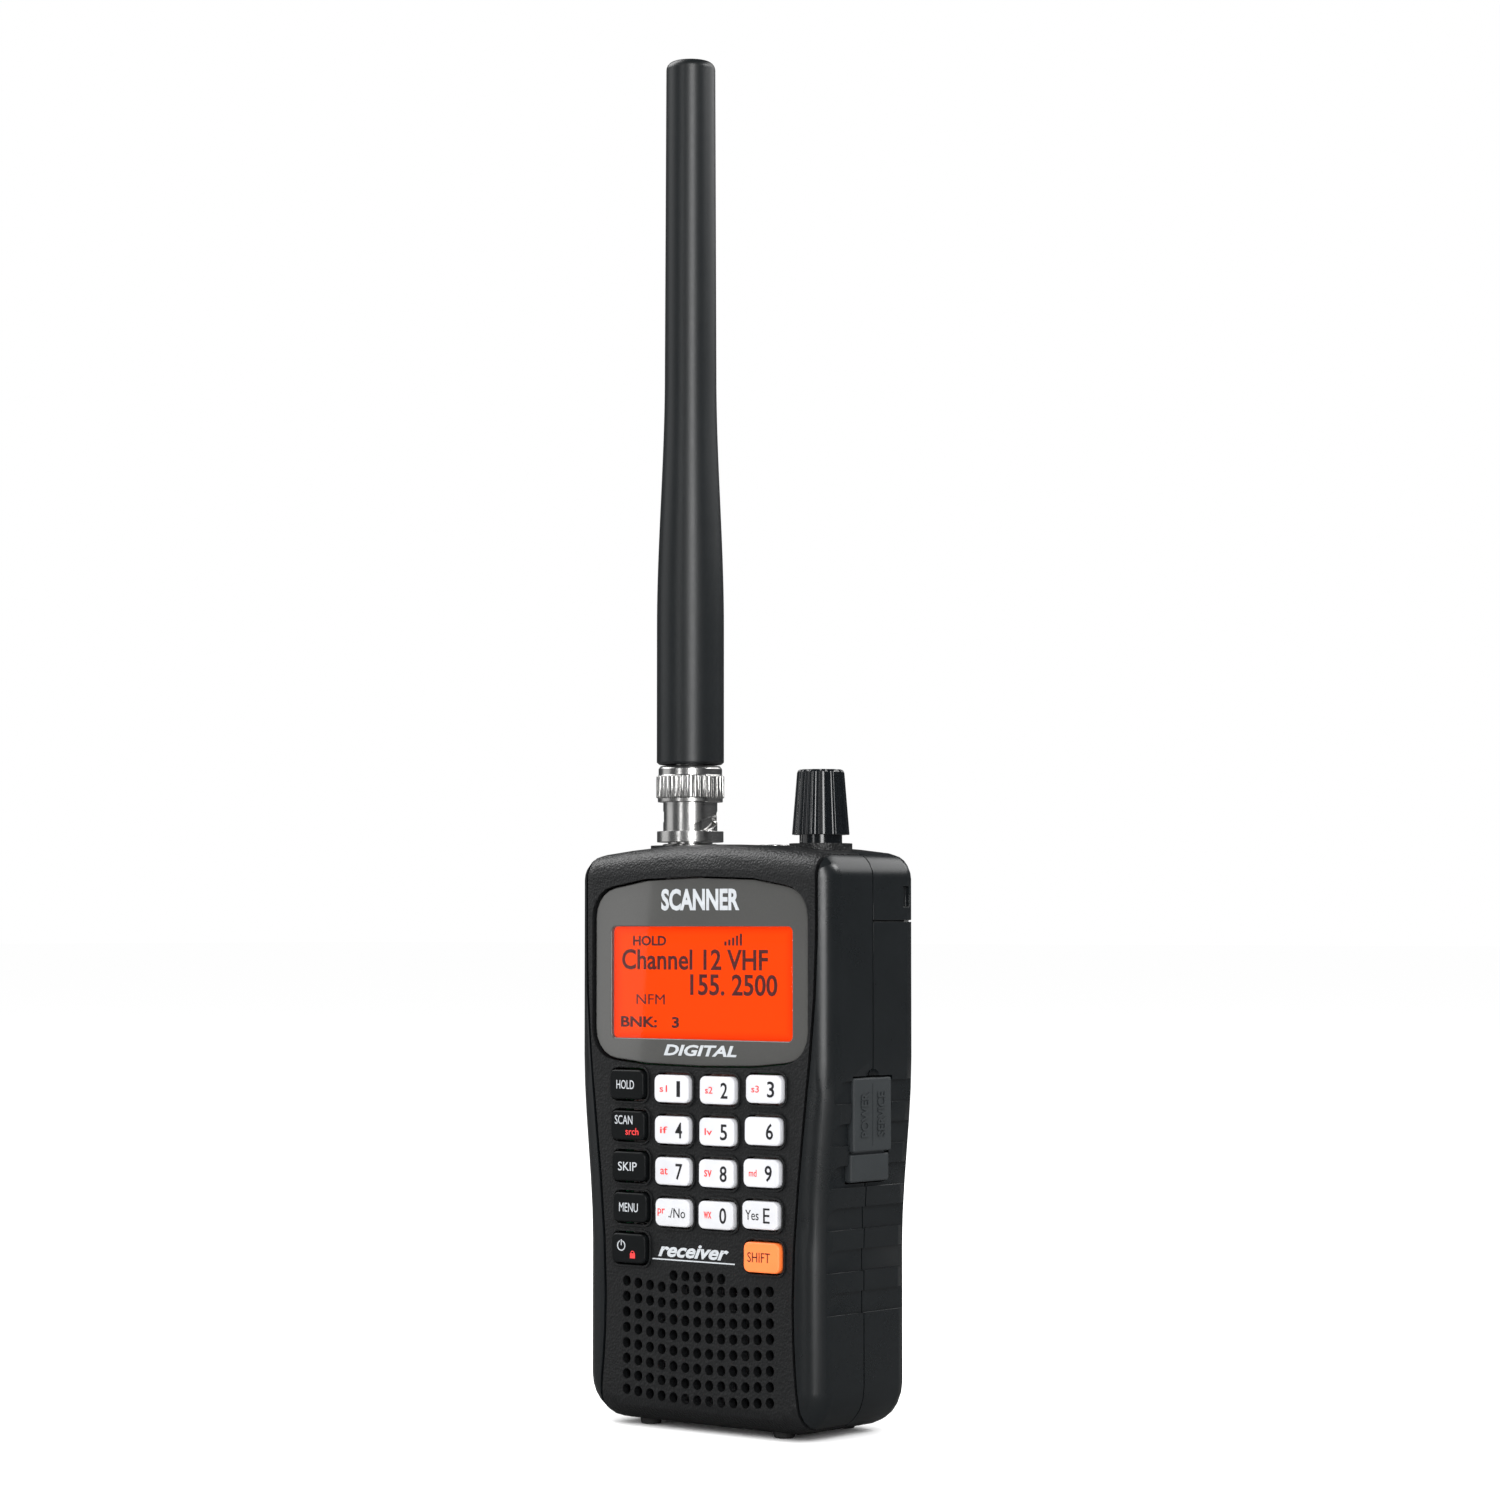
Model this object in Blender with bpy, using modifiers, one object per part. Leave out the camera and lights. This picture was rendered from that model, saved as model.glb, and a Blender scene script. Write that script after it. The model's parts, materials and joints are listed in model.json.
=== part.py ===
"""Handheld radio scanner, piece by piece, in metres: +Z up, front towards -Y, standing on its feet.

Sizes below are millimetres in the case frame: X across, Y front to back, Z up from the case's flat bottom.
"""

import math

import bmesh
import bpy
from mathutils import Matrix

MM = 0.001
GAP = 0.3  # clearance between neighbouring pieces

# Case
CASE_TOP = 113.8
CROWN_DROP = 1.8
GRIP_HALF = 32.25
CROWN_HALF = GRIP_HALF - 4.25
WAIST_HALF = GRIP_HALF - 2.35
GRIP_Z = 72.0
WAIST_Z = 35.0
TOP_CORNER = 5.0
BOTTOM_CORNER = 8.5
CASE_FRONT = -15.5
CELL_RADIUS = 7.25
CASE_BACK = 2 * CELL_RADIUS + 0.1
EDGE_ROUND = 4.8
WALL = 1.8
SEAM_Y = -1.0
DOOR_TOP = CASE_TOP - 15.1

# Front panel
PANEL_TOP_HALF = GRIP_HALF - 3.25
PANEL_TOP_Z = 95.0
PANEL_WAIST_HALF = 23.5
PANEL_WAIST_Z = 25.0
PANEL_FOOT_HALF = 25.5
GROOVE = 0.6
DECK_HALF = 26.5
DECK_BACK = 10.3
DECK_Z = CASE_TOP - 5.3

# Display
LENS_HALF = 27.3
LENS_LOW = 71.3
LENS_HIGH = 105.4
LENS_SAG_TOP = 1.8
LENS_SAG_BOTTOM = 1.0
LENS_CORNER = 6.0
LENS_RECESS = 0.8
LENS_THICK = 1.4
LCD_HALF = 24.5
LCD_LOW = 74.5
LCD_HIGH = 99.0
LCD_THICK = 1.8
HOLDER_THICK = 2.5
HOLDER_RIM = 1.8
HOLDER_LIP = 3.0

# Keys
KEY_TOP_ROW = 65.7
KEY_ROW_STEP = 8.08
KEY_PITCHES = (11.65, 11.45, 11.25, 11.05, 11.3)
KEY_SMILE = 0.6
KEY_PROUD = 1.2
KEY_WIDTH = 8.8
KEY_HEIGHT = 5.4
WIDE_KEY_HEIGHT = 5.8
KEY_CORNER = 1.2
KEY_CHAMFER = 0.45
KEY_SLACK = 0.4
KEY_FLANGE = 0.7
KEY_FLANGE_THICK = 0.8
KEY_TRAVEL = 0.8
MEMBRANE_THICK = 1.3
MEMBRANE_MARGIN = 1.6
POST_SIZE = 3.0

# Speaker
GRILLE_PITCH = 3.04
GRILLE_HOLE = 2.0
GRILLE_COLUMNS = 13
GRILLE_ROWS = 8
GRILLE_LOW = 5.3
GRILLE_SMILE = 0.9
SHORT_ROW = 5
SHORT_ROW_Z = 29.2
SPEAKER_RADIUS = 12.4
SPEAKER_DEPTH = 6.6
MAGNET_RADIUS = 7.0
VENT_RADIUS = 1.6

# Board and battery bay
BOARD_FRONT = -8.0
BOARD_THICK = 1.6
BOARD_HALF = 25.0
BOARD_LOW = 31.0
BOARD_HIGH = CASE_TOP - 12.8
TUB_FRONT = -4.6
TUB_THICK = 1.4
TUB_HALF = 2 * CELL_RADIUS + 6.0
TUB_LOW = 3.2
SHELF_THICK = 1.6
CELL_LENGTH = 49.0
CELL_TIP_RADIUS = 2.75
CELL_TIP = 1.5
CELL_LOW = 8.0
CELL_SPACING = 2 * CELL_RADIUS + 0.7
CONTACT_THICK = 1.2
SPRING_LENGTH = 6.0
SCREW_X = 18.0
SCREW_Z = 90.0
SCREW_HEAD = 2.4
SCREW_SHANK = 1.2

# Antenna and its bayonet connector
JACK_X = -15.6
JACK_Y = 0.8
JACK_BOSS = 8.0
BOSS_TOP = CASE_TOP + 0.1
JACK_RADIUS = 4.5
JACK_BORE = JACK_RADIUS - 1.0
JACK_LOW = CASE_TOP - 9.8
JACK_HIGH = CASE_TOP + 10.2
LUG_RADIUS = 0.9
LUG_REACH = JACK_RADIUS + 0.85
LUG_Z = CASE_TOP + 6.0
LUG_ANGLE = 39.3
NUT_LOW = CASE_TOP + 0.8
NUT_FLANGE = 6.75
NUT_FLANGE_HIGH = 2.2
NUT_BARREL = JACK_RADIUS + 1.0
NUT_BARREL_HIGH = 5.9
NUT_KNURL = 6.9
NUT_KNURL_HIGH = 5.4
NUT_TOP_HIGH = 1.9
NUT_TWIST = 75.0
NUT_RISE = 2.5
SLOT_RADIUS = 1.25
STEM_RADIUS = 3.0
PLUG_DISC = JACK_RADIUS - 0.2
PANEL_NUT_RADIUS = 7.6
PANEL_NUT_THICK = 3.0
SLEEVE_LENGTH = 143.5
SLEEVE_BASE = 6.8
SLEEVE_MID = 5.25
SLEEVE_TIP = 5.0
SLEEVE_TAPER_START = 28.0
SLEEVE_TAPER_END = 79.0
COIL_RADIUS = 2.4
COIL_TURNS = 9
COIL_WIRE = 0.35

# Control knob and rotary encoder
KNOB_X = 18.6
KNOB_BOSS = 6.2
KNOB_LOW = CASE_TOP + 1.8
KNOB_HIGH = CASE_TOP + 14.6
KNOB_BASE = 5.45
KNOB_TIP = 4.45
KNOB_RIBS = 9
KNOB_FLUTE = 0.5
KNOB_NECK = 4.2
KNOB_NECK_LOW = CASE_TOP - 0.6
KNOB_TOP_WALL = 1.8
KNOB_TRAVEL = 0.6
SHAFT_RADIUS = 2.9
ENCODER_HALF = 6.3
ENCODER_LOW = CASE_TOP - 11.5
ENCODER_HIGH = CASE_TOP - 4.8
ROTOR_RADIUS = 4.6
ROTOR_HIGH = CASE_TOP - 6.3

# Phones jack in the top deck
PHONES_X = 3.6
PHONES_Y = 4.0
PHONES_RADIUS = 3.0
PHONES_BORE = 1.8
PHONES_LOW = CASE_TOP - 11.5

# Side recesses
RECESS_COUNT = 6
RECESS_TOP = 67.9
RECESS_STEP = 8.1
RECESS_HIGH = 4.3
RECESS_DEPTH = 0.55
RECESS_FRONT = -12.3
RECESS_ROUND = 2.6

# Jack cover
COVER_FRONT = -7.0
COVER_BACK = 5.0
COVER_FACE = GRIP_HALF - 0.05
COVER_THICK = 1.9
COVER_TOP = 68.5
COVER_LOW = 54.2
ANCHOR_FACE = GRIP_HALF - 0.75
ANCHOR_TOP = 53.8
ANCHOR_LOW = 48.4
SOCKET_FACE = GRIP_HALF - 3.05
SOCKET_BACK = TUB_HALF + 1.5
SOCKET_LOW = 57.0
SOCKET_HIGH = 67.0

# Feet
FOOT_X = 17.0
FOOT_Y = 9.5
FOOT_RADIUS = 2.2
FOOT_HIGH = 1.0
FOOT_SEAT = 0.9

# Belt clip
CLIP_HALF = 9.0
CLIP_BASE_LOW = 68.0
CLIP_BASE_HIGH = 92.0
CLIP_BASE_THICK = 1.2
CLIP_PIN_Z = 84.0
CLIP_PIN_Y = CASE_BACK + 3.8
CLIP_PIN_RADIUS = 1.0
CLIP_EAR_THICK = 1.8
CLIP_EAR_HALF = 1.5
CLIP_LEVER_FACE = CASE_BACK + 7.2
CLIP_LEVER_THICK = 1.4
CLIP_LEVER_LOW = 38.0
CLIP_LEVER_HIGH = 92.0
CLIP_NOSE = 3.4
STRAP_SLOT_LOW = CASE_TOP - 12.3
STRAP_SLOT_HIGH = CASE_TOP - 8.3

# Worked out from the sizes above
KEY_FRONT = CASE_FRONT - KEY_PROUD
PANEL_BACK = CASE_FRONT + WALL
FLANGE_FRONT = PANEL_BACK + KEY_SLACK
FLANGE_BACK = FLANGE_FRONT + KEY_FLANGE_THICK
POST_FRONT = FLANGE_BACK + KEY_TRAVEL + 0.4
LENS_FRONT = CASE_FRONT + LENS_RECESS
LENS_BACK = LENS_FRONT + LENS_THICK
LCD_FRONT = LENS_BACK + 0.6
LCD_BACK = LCD_FRONT + LCD_THICK
HOLDER_BACK = LCD_BACK + GAP + HOLDER_THICK
NUT_BARREL_TOP = NUT_LOW + NUT_FLANGE_HIGH + NUT_BARREL_HIGH
NUT_KNURL_TOP = NUT_BARREL_TOP + NUT_KNURL_HIGH
NUT_TOP = NUT_KNURL_TOP + NUT_TOP_HIGH
SLEEVE_LOW = NUT_TOP + GAP
SLEEVE_BORE = STEM_RADIUS + GAP
SPEAKER_Z = GRILLE_LOW + GRILLE_PITCH * (GRILLE_ROWS - 1) / 2
DEPTH_SHIFT = -(KEY_FRONT + CLIP_LEVER_FACE) / 2
TUB_BACK = TUB_FRONT + TUB_THICK
CELL_Y = TUB_BACK + 0.65 + CELL_RADIUS
SHELF_LOW = DOOR_TOP + 1.3

# Faces of the boxes that divide the case, well clear of it
CLEAR_TOP = CASE_TOP + 11.2
CLEAR_SIDE = GRIP_HALF + 8.0
CLEAR_BACK = CASE_BACK + 15.0

FINISHES = {
    "panel_plastic": ((0.012, 0.012, 0.013), 0.55, 0.0),
    "case_plastic": ((0.014, 0.017, 0.019), 0.3, 0.0),
    "lens": ((0.07, 0.07, 0.068), 0.1, 0.0),
    "lcd": ((1.0, 0.08, 0.01), 0.3, 0.0),
    "frame_plastic": ((0.6, 0.6, 0.58), 0.5, 0.0),
    "membrane_rubber": ((0.3, 0.3, 0.3), 0.7, 0.0),
    "circuit_board": ((0.02, 0.15, 0.06), 0.4, 0.0),
    "pale_key": ((0.86, 0.85, 0.88), 0.35, 0.0),
    "dark_key": ((0.02, 0.025, 0.03), 0.4, 0.0),
    "orange_key": ((1.0, 0.19, 0.045), 0.35, 0.0),
    "speaker_metal": ((0.4, 0.4, 0.42), 0.35, 1.0),
    "speaker_paper": ((0.02, 0.02, 0.02), 0.8, 0.0),
    "nickel": ((0.75, 0.73, 0.7), 0.15, 1.0),
    "insulator": ((0.85, 0.85, 0.82), 0.4, 0.0),
    "antenna_rubber": ((0.013, 0.017, 0.019), 0.45, 0.0),
    "copper": ((0.8, 0.35, 0.15), 0.3, 1.0),
    "knob_plastic": ((0.012, 0.014, 0.016), 0.25, 0.0),
    "cover_rubber": ((0.047, 0.053, 0.056), 0.7, 0.0),
    "foot_rubber": ((0.01, 0.01, 0.01), 0.8, 0.0),
    "cell_jacket": ((0.05, 0.2, 0.5), 0.35, 0.5),
    "steel": ((0.6, 0.6, 0.6), 0.3, 1.0),
}


def ease(low, high, at):
    """0 below low, 1 above high, with a smooth S between."""
    t = min(max((at - low) / (high - low), 0.0), 1.0)
    return t * t * (3 - 2 * t)


def case_half(z):
    return WAIST_HALF + (GRIP_HALF - WAIST_HALF) * ease(WAIST_Z, GRIP_Z, z)


def panel_half(z):
    rise = ease(PANEL_WAIST_Z, PANEL_TOP_Z, z)
    flare = min(max(1 - z / PANEL_WAIST_Z, 0.0), 1.0) ** 2
    return PANEL_WAIST_HALF + (PANEL_TOP_HALF - PANEL_WAIST_HALF) * rise + (
        PANEL_FOOT_HALF - PANEL_WAIST_HALF
    ) * flare


def crown(x):
    return CASE_TOP - CROWN_DROP * (x / CROWN_HALF) ** 2


def arc(x, z, radius, start, end, steps):
    """Points of a round stretch, with its angles in degrees from +X."""
    turns = [math.radians(start + (end - start) * i / steps) for i in range(steps + 1)]
    return [(x + radius * math.cos(a), z + radius * math.sin(a)) for a in turns]


def mirrored(right):
    """A closed outline from its right half, given from bottom to top."""
    left = [(-x, z) for x, z in reversed(right) if abs(x) > 1e-6]
    return right + left


def case_outline(inset):
    slope = math.degrees(math.atan(2 * CROWN_DROP * (GRIP_HALF - TOP_CORNER) / CROWN_HALF**2))
    lean = math.radians(90 - slope)
    corner_x = GRIP_HALF - TOP_CORNER
    corner_z = crown(corner_x + TOP_CORNER * math.cos(lean)) - TOP_CORNER * math.sin(lean)
    right = arc(WAIST_HALF - BOTTOM_CORNER, BOTTOM_CORNER, BOTTOM_CORNER - inset, -90, 0, 6)
    steps = 6
    for i in range(steps + 1):
        z = WAIST_Z + (GRIP_Z - WAIST_Z) * i / steps
        right.append((case_half(z) - inset, z))
    right += arc(corner_x, corner_z, TOP_CORNER - inset, 0, 90 - slope, 5)
    for x in (0.75 * CROWN_HALF, 0.5 * CROWN_HALF, 0.25 * CROWN_HALF, 0.0):
        right.append((x, crown(x) - inset))
    return mirrored(right)


def panel_outline(grow):
    """The front panel's band, longer than the case at both ends."""
    levels = [-5, 0, 5, 12, 18, 25, 36, 48, 60, 72, 84, 95, CLEAR_TOP]
    return mirrored([(panel_half(z) + grow, z) for z in levels])


def lens_outline(grow):
    half, corner = LENS_HALF + grow, LENS_CORNER + grow
    low, high = LENS_LOW - grow, LENS_HIGH + grow
    right = [(0.0, low - LENS_SAG_BOTTOM), (0.5 * half, low - 0.75 * LENS_SAG_BOTTOM)]
    right += arc(half - corner, low + corner, corner, -85, 0, 5)
    right += arc(half - corner, high - corner, corner, 0, 82, 5)
    right += [(0.5 * half, high + 0.75 * LENS_SAG_TOP), (0.0, high + LENS_SAG_TOP)]
    return mirrored(right)


def rounded_rectangle(x, z, width, height, corner, steps=2):
    points = []
    for across, up, start in ((1, -1, -90), (1, 1, 0), (-1, 1, 90), (-1, -1, 180)):
        centre_x = x + across * (width / 2 - corner)
        centre_z = z + up * (height / 2 - corner)
        points += arc(centre_x, centre_z, corner, start, start + 90, steps)
    return points


def clear_scene():
    for obj in list(bpy.data.objects):
        bpy.data.objects.remove(obj, do_unlink=True)


def new_collection(name):
    collection = bpy.data.collections.new(name)
    bpy.context.scene.collection.children.link(collection)
    return collection


def material(name):
    found = bpy.data.materials.get(name)
    if found:
        return found
    colour, roughness, metallic = FINISHES[name]
    made = bpy.data.materials.new(name)
    made.use_nodes = True
    shader = made.node_tree.nodes["Principled BSDF"]
    shader.inputs["Base Color"].default_value = (*colour, 1.0)
    shader.inputs["Roughness"].default_value = roughness
    shader.inputs["Metallic"].default_value = metallic
    return made


def mesh_from(bm, name):
    mesh = bpy.data.meshes.new(name)
    bmesh.ops.recalc_face_normals(bm, faces=bm.faces)
    bm.to_mesh(mesh)
    bm.free()
    return mesh


def baked(obj, name):
    """The object's shape with its modifiers applied, as a new mesh in the case frame."""
    bpy.context.view_layer.update()
    graph = bpy.context.evaluated_depsgraph_get()
    mesh = bpy.data.meshes.new_from_object(obj.evaluated_get(graph))
    mesh.name = name
    mesh.transform(obj.matrix_local)
    return mesh


def piece(name, mesh, finish, place=(0, 0, 0)):
    """A sub-part: its mesh is in the case frame, and its origin moves to place, in millimetres."""
    obj = bpy.data.objects.new(name, mesh)
    PARTS.objects.link(obj)
    obj.parent = CASE_FRAME
    origin = Matrix.Translation([c * MM for c in place])
    mesh.transform(origin.inverted())
    obj.matrix_local = origin
    mesh.materials.clear()
    mesh.materials.append(material(finish))
    return obj


def cutter(name, mesh):
    obj = bpy.data.objects.new(name, mesh)
    CUTTERS.objects.link(obj)
    obj.parent = CASE_FRAME
    obj.hide_render = True
    obj.display_type = "WIRE"
    return obj


def combine(obj, operation, other):
    modifier = obj.modifiers.new(other.name, "BOOLEAN")
    modifier.operation = operation
    modifier.object = other
    modifier.solver = "EXACT"


def add_box(bm, low, high):
    size = [(b - a) * MM for a, b in zip(low, high)]
    middle = [(a + b) / 2 * MM for a, b in zip(low, high)]
    matrix = Matrix.Translation(middle) @ Matrix.Diagonal((*size, 1.0))
    return bmesh.ops.create_cube(bm, size=1.0, matrix=matrix)["verts"]


def box_mesh(name, low, high):
    bm = bmesh.new()
    add_box(bm, low, high)
    return mesh_from(bm, name)


AXES = {
    "Z": Matrix.Identity(4),
    "X": Matrix.Rotation(math.radians(90), 4, "Y"),
    "Y": Matrix.Rotation(math.radians(-90), 4, "X"),
}


def add_cylinder(bm, centre, radius, start, end, axis="Z", segments=20, end_radius=None):
    """A cylinder from start to end along an axis. The centre's value on that axis isn't used."""
    along = "XYZ".index(axis)
    middle = list(centre)
    middle[along] = (start + end) / 2
    matrix = Matrix.Translation([c * MM for c in middle]) @ AXES[axis]
    bmesh.ops.create_cone(
        bm,
        cap_ends=True,
        segments=segments,
        radius1=radius * MM,
        radius2=(radius if end_radius is None else end_radius) * MM,
        depth=(end - start) * MM,
        matrix=matrix,
    )


def cylinder_mesh(name, *shape, **settings):
    bm = bmesh.new()
    add_cylinder(bm, *shape, **settings)
    return mesh_from(bm, name)


def curve_mesh(curve_obj, name):
    """A curve object made a closed mesh in the case frame, and the curve removed."""
    bpy.context.view_layer.update()
    graph = bpy.context.evaluated_depsgraph_get()
    mesh = bpy.data.meshes.new_from_object(curve_obj.evaluated_get(graph))
    mesh.name = name
    mesh.transform(curve_obj.matrix_world)
    data = curve_obj.data
    bpy.data.objects.remove(curve_obj)
    bpy.data.curves.remove(data)
    bm = bmesh.new()
    bm.from_mesh(mesh)
    bmesh.ops.remove_doubles(bm, verts=bm.verts, dist=0.002 * MM)
    bmesh.ops.recalc_face_normals(bm, faces=bm.faces)
    bm.to_mesh(mesh)
    bm.free()
    return mesh


def slab_mesh(name, outline, front, back):
    """A flat outline in X and Z, from one depth to another."""
    data = bpy.data.curves.new(name, "CURVE")
    data.dimensions = "2D"
    data.fill_mode = "BOTH"
    data.extrude = (back - front) / 2 * MM
    spline = data.splines.new("POLY")
    spline.points.add(len(outline) - 1)
    for point, (x, z) in zip(spline.points, outline):
        point.co = (x * MM, z * MM, 0.0, 1.0)
    spline.use_cyclic_u = True
    obj = bpy.data.objects.new(name, data)
    CUTTERS.objects.link(obj)
    obj.rotation_euler = (math.radians(90), 0, 0)
    obj.location = (0, (front + back) / 2 * MM, 0)
    mesh = curve_mesh(obj, name)
    bm = bmesh.new()
    bm.from_mesh(mesh)
    for sign in (-1, 1):
        cap = [face for face in bm.faces if face.normal.y * sign > 0.99]
        bmesh.ops.dissolve_faces(bm, faces=cap)
    bm.to_mesh(mesh)
    bm.free()
    return mesh


def tube_mesh(name, points, radius, resolution):
    data = bpy.data.curves.new(name, "CURVE")
    data.dimensions = "3D"
    data.bevel_depth = radius * MM
    data.bevel_resolution = resolution
    data.use_fill_caps = True
    spline = data.splines.new("POLY")
    spline.points.add(len(points) - 1)
    for point, place in zip(spline.points, points):
        point.co = (*[c * MM for c in place], 1.0)
    obj = bpy.data.objects.new(name, data)
    CUTTERS.objects.link(obj)
    return curve_mesh(obj, name)


def turned_mesh(name, profile, segments, centre, axis="Z"):
    """A profile of (radius, height) turned about an axis. It runs down its outer side, top to bottom."""
    closed = all(radius > 0 for radius, _ in profile)
    mesh = bpy.data.meshes.new(name)
    count = len(profile)
    edges = [(i, i + 1) for i in range(count - 1)]
    if closed:
        edges.append((count - 1, 0))
    mesh.from_pydata([(r * MM, 0, z * MM) for r, z in profile], edges, [])
    obj = bpy.data.objects.new(name, mesh)
    CUTTERS.objects.link(obj)
    screw = obj.modifiers.new("turn", "SCREW")
    screw.steps = segments
    screw.render_steps = segments
    screw.use_merge_vertices = True
    screw.merge_threshold = 0.00002
    made = baked(obj, name)
    bpy.data.objects.remove(obj)
    bm = bmesh.new()
    bm.from_mesh(made)
    bmesh.ops.remove_doubles(bm, verts=bm.verts, dist=0.01 * MM)
    bmesh.ops.recalc_face_normals(bm, faces=bm.faces)
    bm.to_mesh(made)
    bm.free()
    made.transform(Matrix.Translation([c * MM for c in centre]) @ AXES[axis])
    return made


def case_solid(name, inset, edge):
    """The case's whole outer form, or its hollow, with rounded front and back edges."""
    mesh = slab_mesh(name, case_outline(inset), CASE_FRONT + inset, CASE_BACK - inset)
    obj = cutter(name, mesh)
    bevel = obj.modifiers.new("edges", "BEVEL")
    bevel.width = edge * MM
    bevel.segments = 4
    bevel.limit_method = "ANGLE"
    bevel.angle_limit = math.radians(60)
    bevel.use_clamp_overlap = False
    made = baked(obj, name)
    bpy.data.objects.remove(obj)
    return made


def key_places():
    """(name, x, z, finish, height) of each key, row by row from the top."""
    rows = (
        ("hold", "1", "2", "3"),
        ("scan", "4", "5", "6"),
        ("lockout", "7", "8", "9"),
        ("menu", "no", "0", "yes"),
        ("power", None, None, "function"),
    )
    places = []
    for row, names in enumerate(rows):
        for column, name in enumerate(names):
            if name is None:
                continue
            share = column - 1.5
            x = share * KEY_PITCHES[row]
            z = KEY_TOP_ROW - KEY_ROW_STEP * row + KEY_SMILE * (share / 1.5) ** 2
            finish = "dark_key" if column == 0 else "pale_key"
            if name == "function":
                finish = "orange_key"
            height = KEY_HEIGHT if finish == "pale_key" else WIDE_KEY_HEIGHT
            places.append(("key_" + name, x, z, finish, height))
    return places


def grille_places():
    places = []
    for row in range(GRILLE_ROWS):
        for column in range(GRILLE_COLUMNS):
            share = column - (GRILLE_COLUMNS - 1) / 2
            rise = GRILLE_SMILE * (2 * share / (GRILLE_COLUMNS - 1)) ** 2
            places.append((share * GRILLE_PITCH, GRILLE_LOW + row * GRILLE_PITCH + rise))
    for column in range(SHORT_ROW):
        places.append(((column - (SHORT_ROW - 1) / 2) * GRILLE_PITCH, SHORT_ROW_Z))
    return places


def key_cuts():
    """Rounded openings, one for each key, as one cutter."""
    bm = bmesh.new()
    for name, x, z, _, height in key_places():
        outline = rounded_rectangle(
            x, z, KEY_WIDTH + 2 * KEY_SLACK, height + 2 * KEY_SLACK, KEY_CORNER + KEY_SLACK
        )
        bm.from_mesh(slab_mesh(name + "_opening", outline, CASE_FRONT - 2, PANEL_BACK + 2))
    return cutter("key_openings", mesh_from(bm, "key_openings"))


def grille_cuts():
    bm = bmesh.new()
    for x, z in grille_places():
        add_cylinder(
            bm, (x, 0, z), GRILLE_HOLE / 2, CASE_FRONT - 2, PANEL_BACK + 2, axis="Y", segments=6
        )
    return cutter("grille_holes", mesh_from(bm, "grille_holes"))


def recess_cuts():
    """Six shallow grip recesses on each side, open at the back, with the upper front corner rounded."""
    bm = bmesh.new()
    for side in (-1, 1):
        for row in range(RECESS_COUNT):
            top = RECESS_TOP - RECESS_STEP * row
            floor = case_half(top - RECESS_HIGH / 2) - RECESS_DEPTH
            across = sorted((side * floor, side * (GRIP_HALF + 3)))
            verts = add_box(
                bm, (across[0], RECESS_FRONT, top - RECESS_HIGH), (across[1], CASE_BACK + 3, top)
            )
            edge = [
                e
                for e in {edge for vert in verts for edge in vert.link_edges}
                if all(v.co.y < 0 and v.co.z > (top - 1) * MM for v in e.verts)
            ]
            bmesh.ops.bevel(
                bm, geom=edge, offset=RECESS_ROUND * MM, segments=3, profile=0.5, affect="EDGES"
            )
    return cutter("side_recesses", mesh_from(bm, "side_recesses"))


def cover_pocket():
    bm = bmesh.new()
    add_box(
        bm,
        (SOCKET_FACE - 2.5, COVER_FRONT - GAP, ANCHOR_LOW - GAP),
        (GRIP_HALF + 3, COVER_BACK + GAP, COVER_TOP + GAP),
    )
    return cutter("cover_pocket", mesh_from(bm, "cover_pocket"))


def foot_seats():
    bm = bmesh.new()
    for x in (-FOOT_X, FOOT_X):
        for y in (-FOOT_Y, FOOT_Y):
            add_cylinder(bm, (x, y, 0), FOOT_RADIUS + GAP, -3, FOOT_SEAT, segments=16)
    return cutter("foot_seats", mesh_from(bm, "foot_seats"))


def shell(name, finish, outside, hollow, region):
    """A wall of the case: the outer form less the hollow, kept inside one region."""
    obj = piece(name, outside.copy(), finish)
    combine(obj, "DIFFERENCE", hollow)
    combine(obj, "INTERSECT", region)
    return obj


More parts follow.
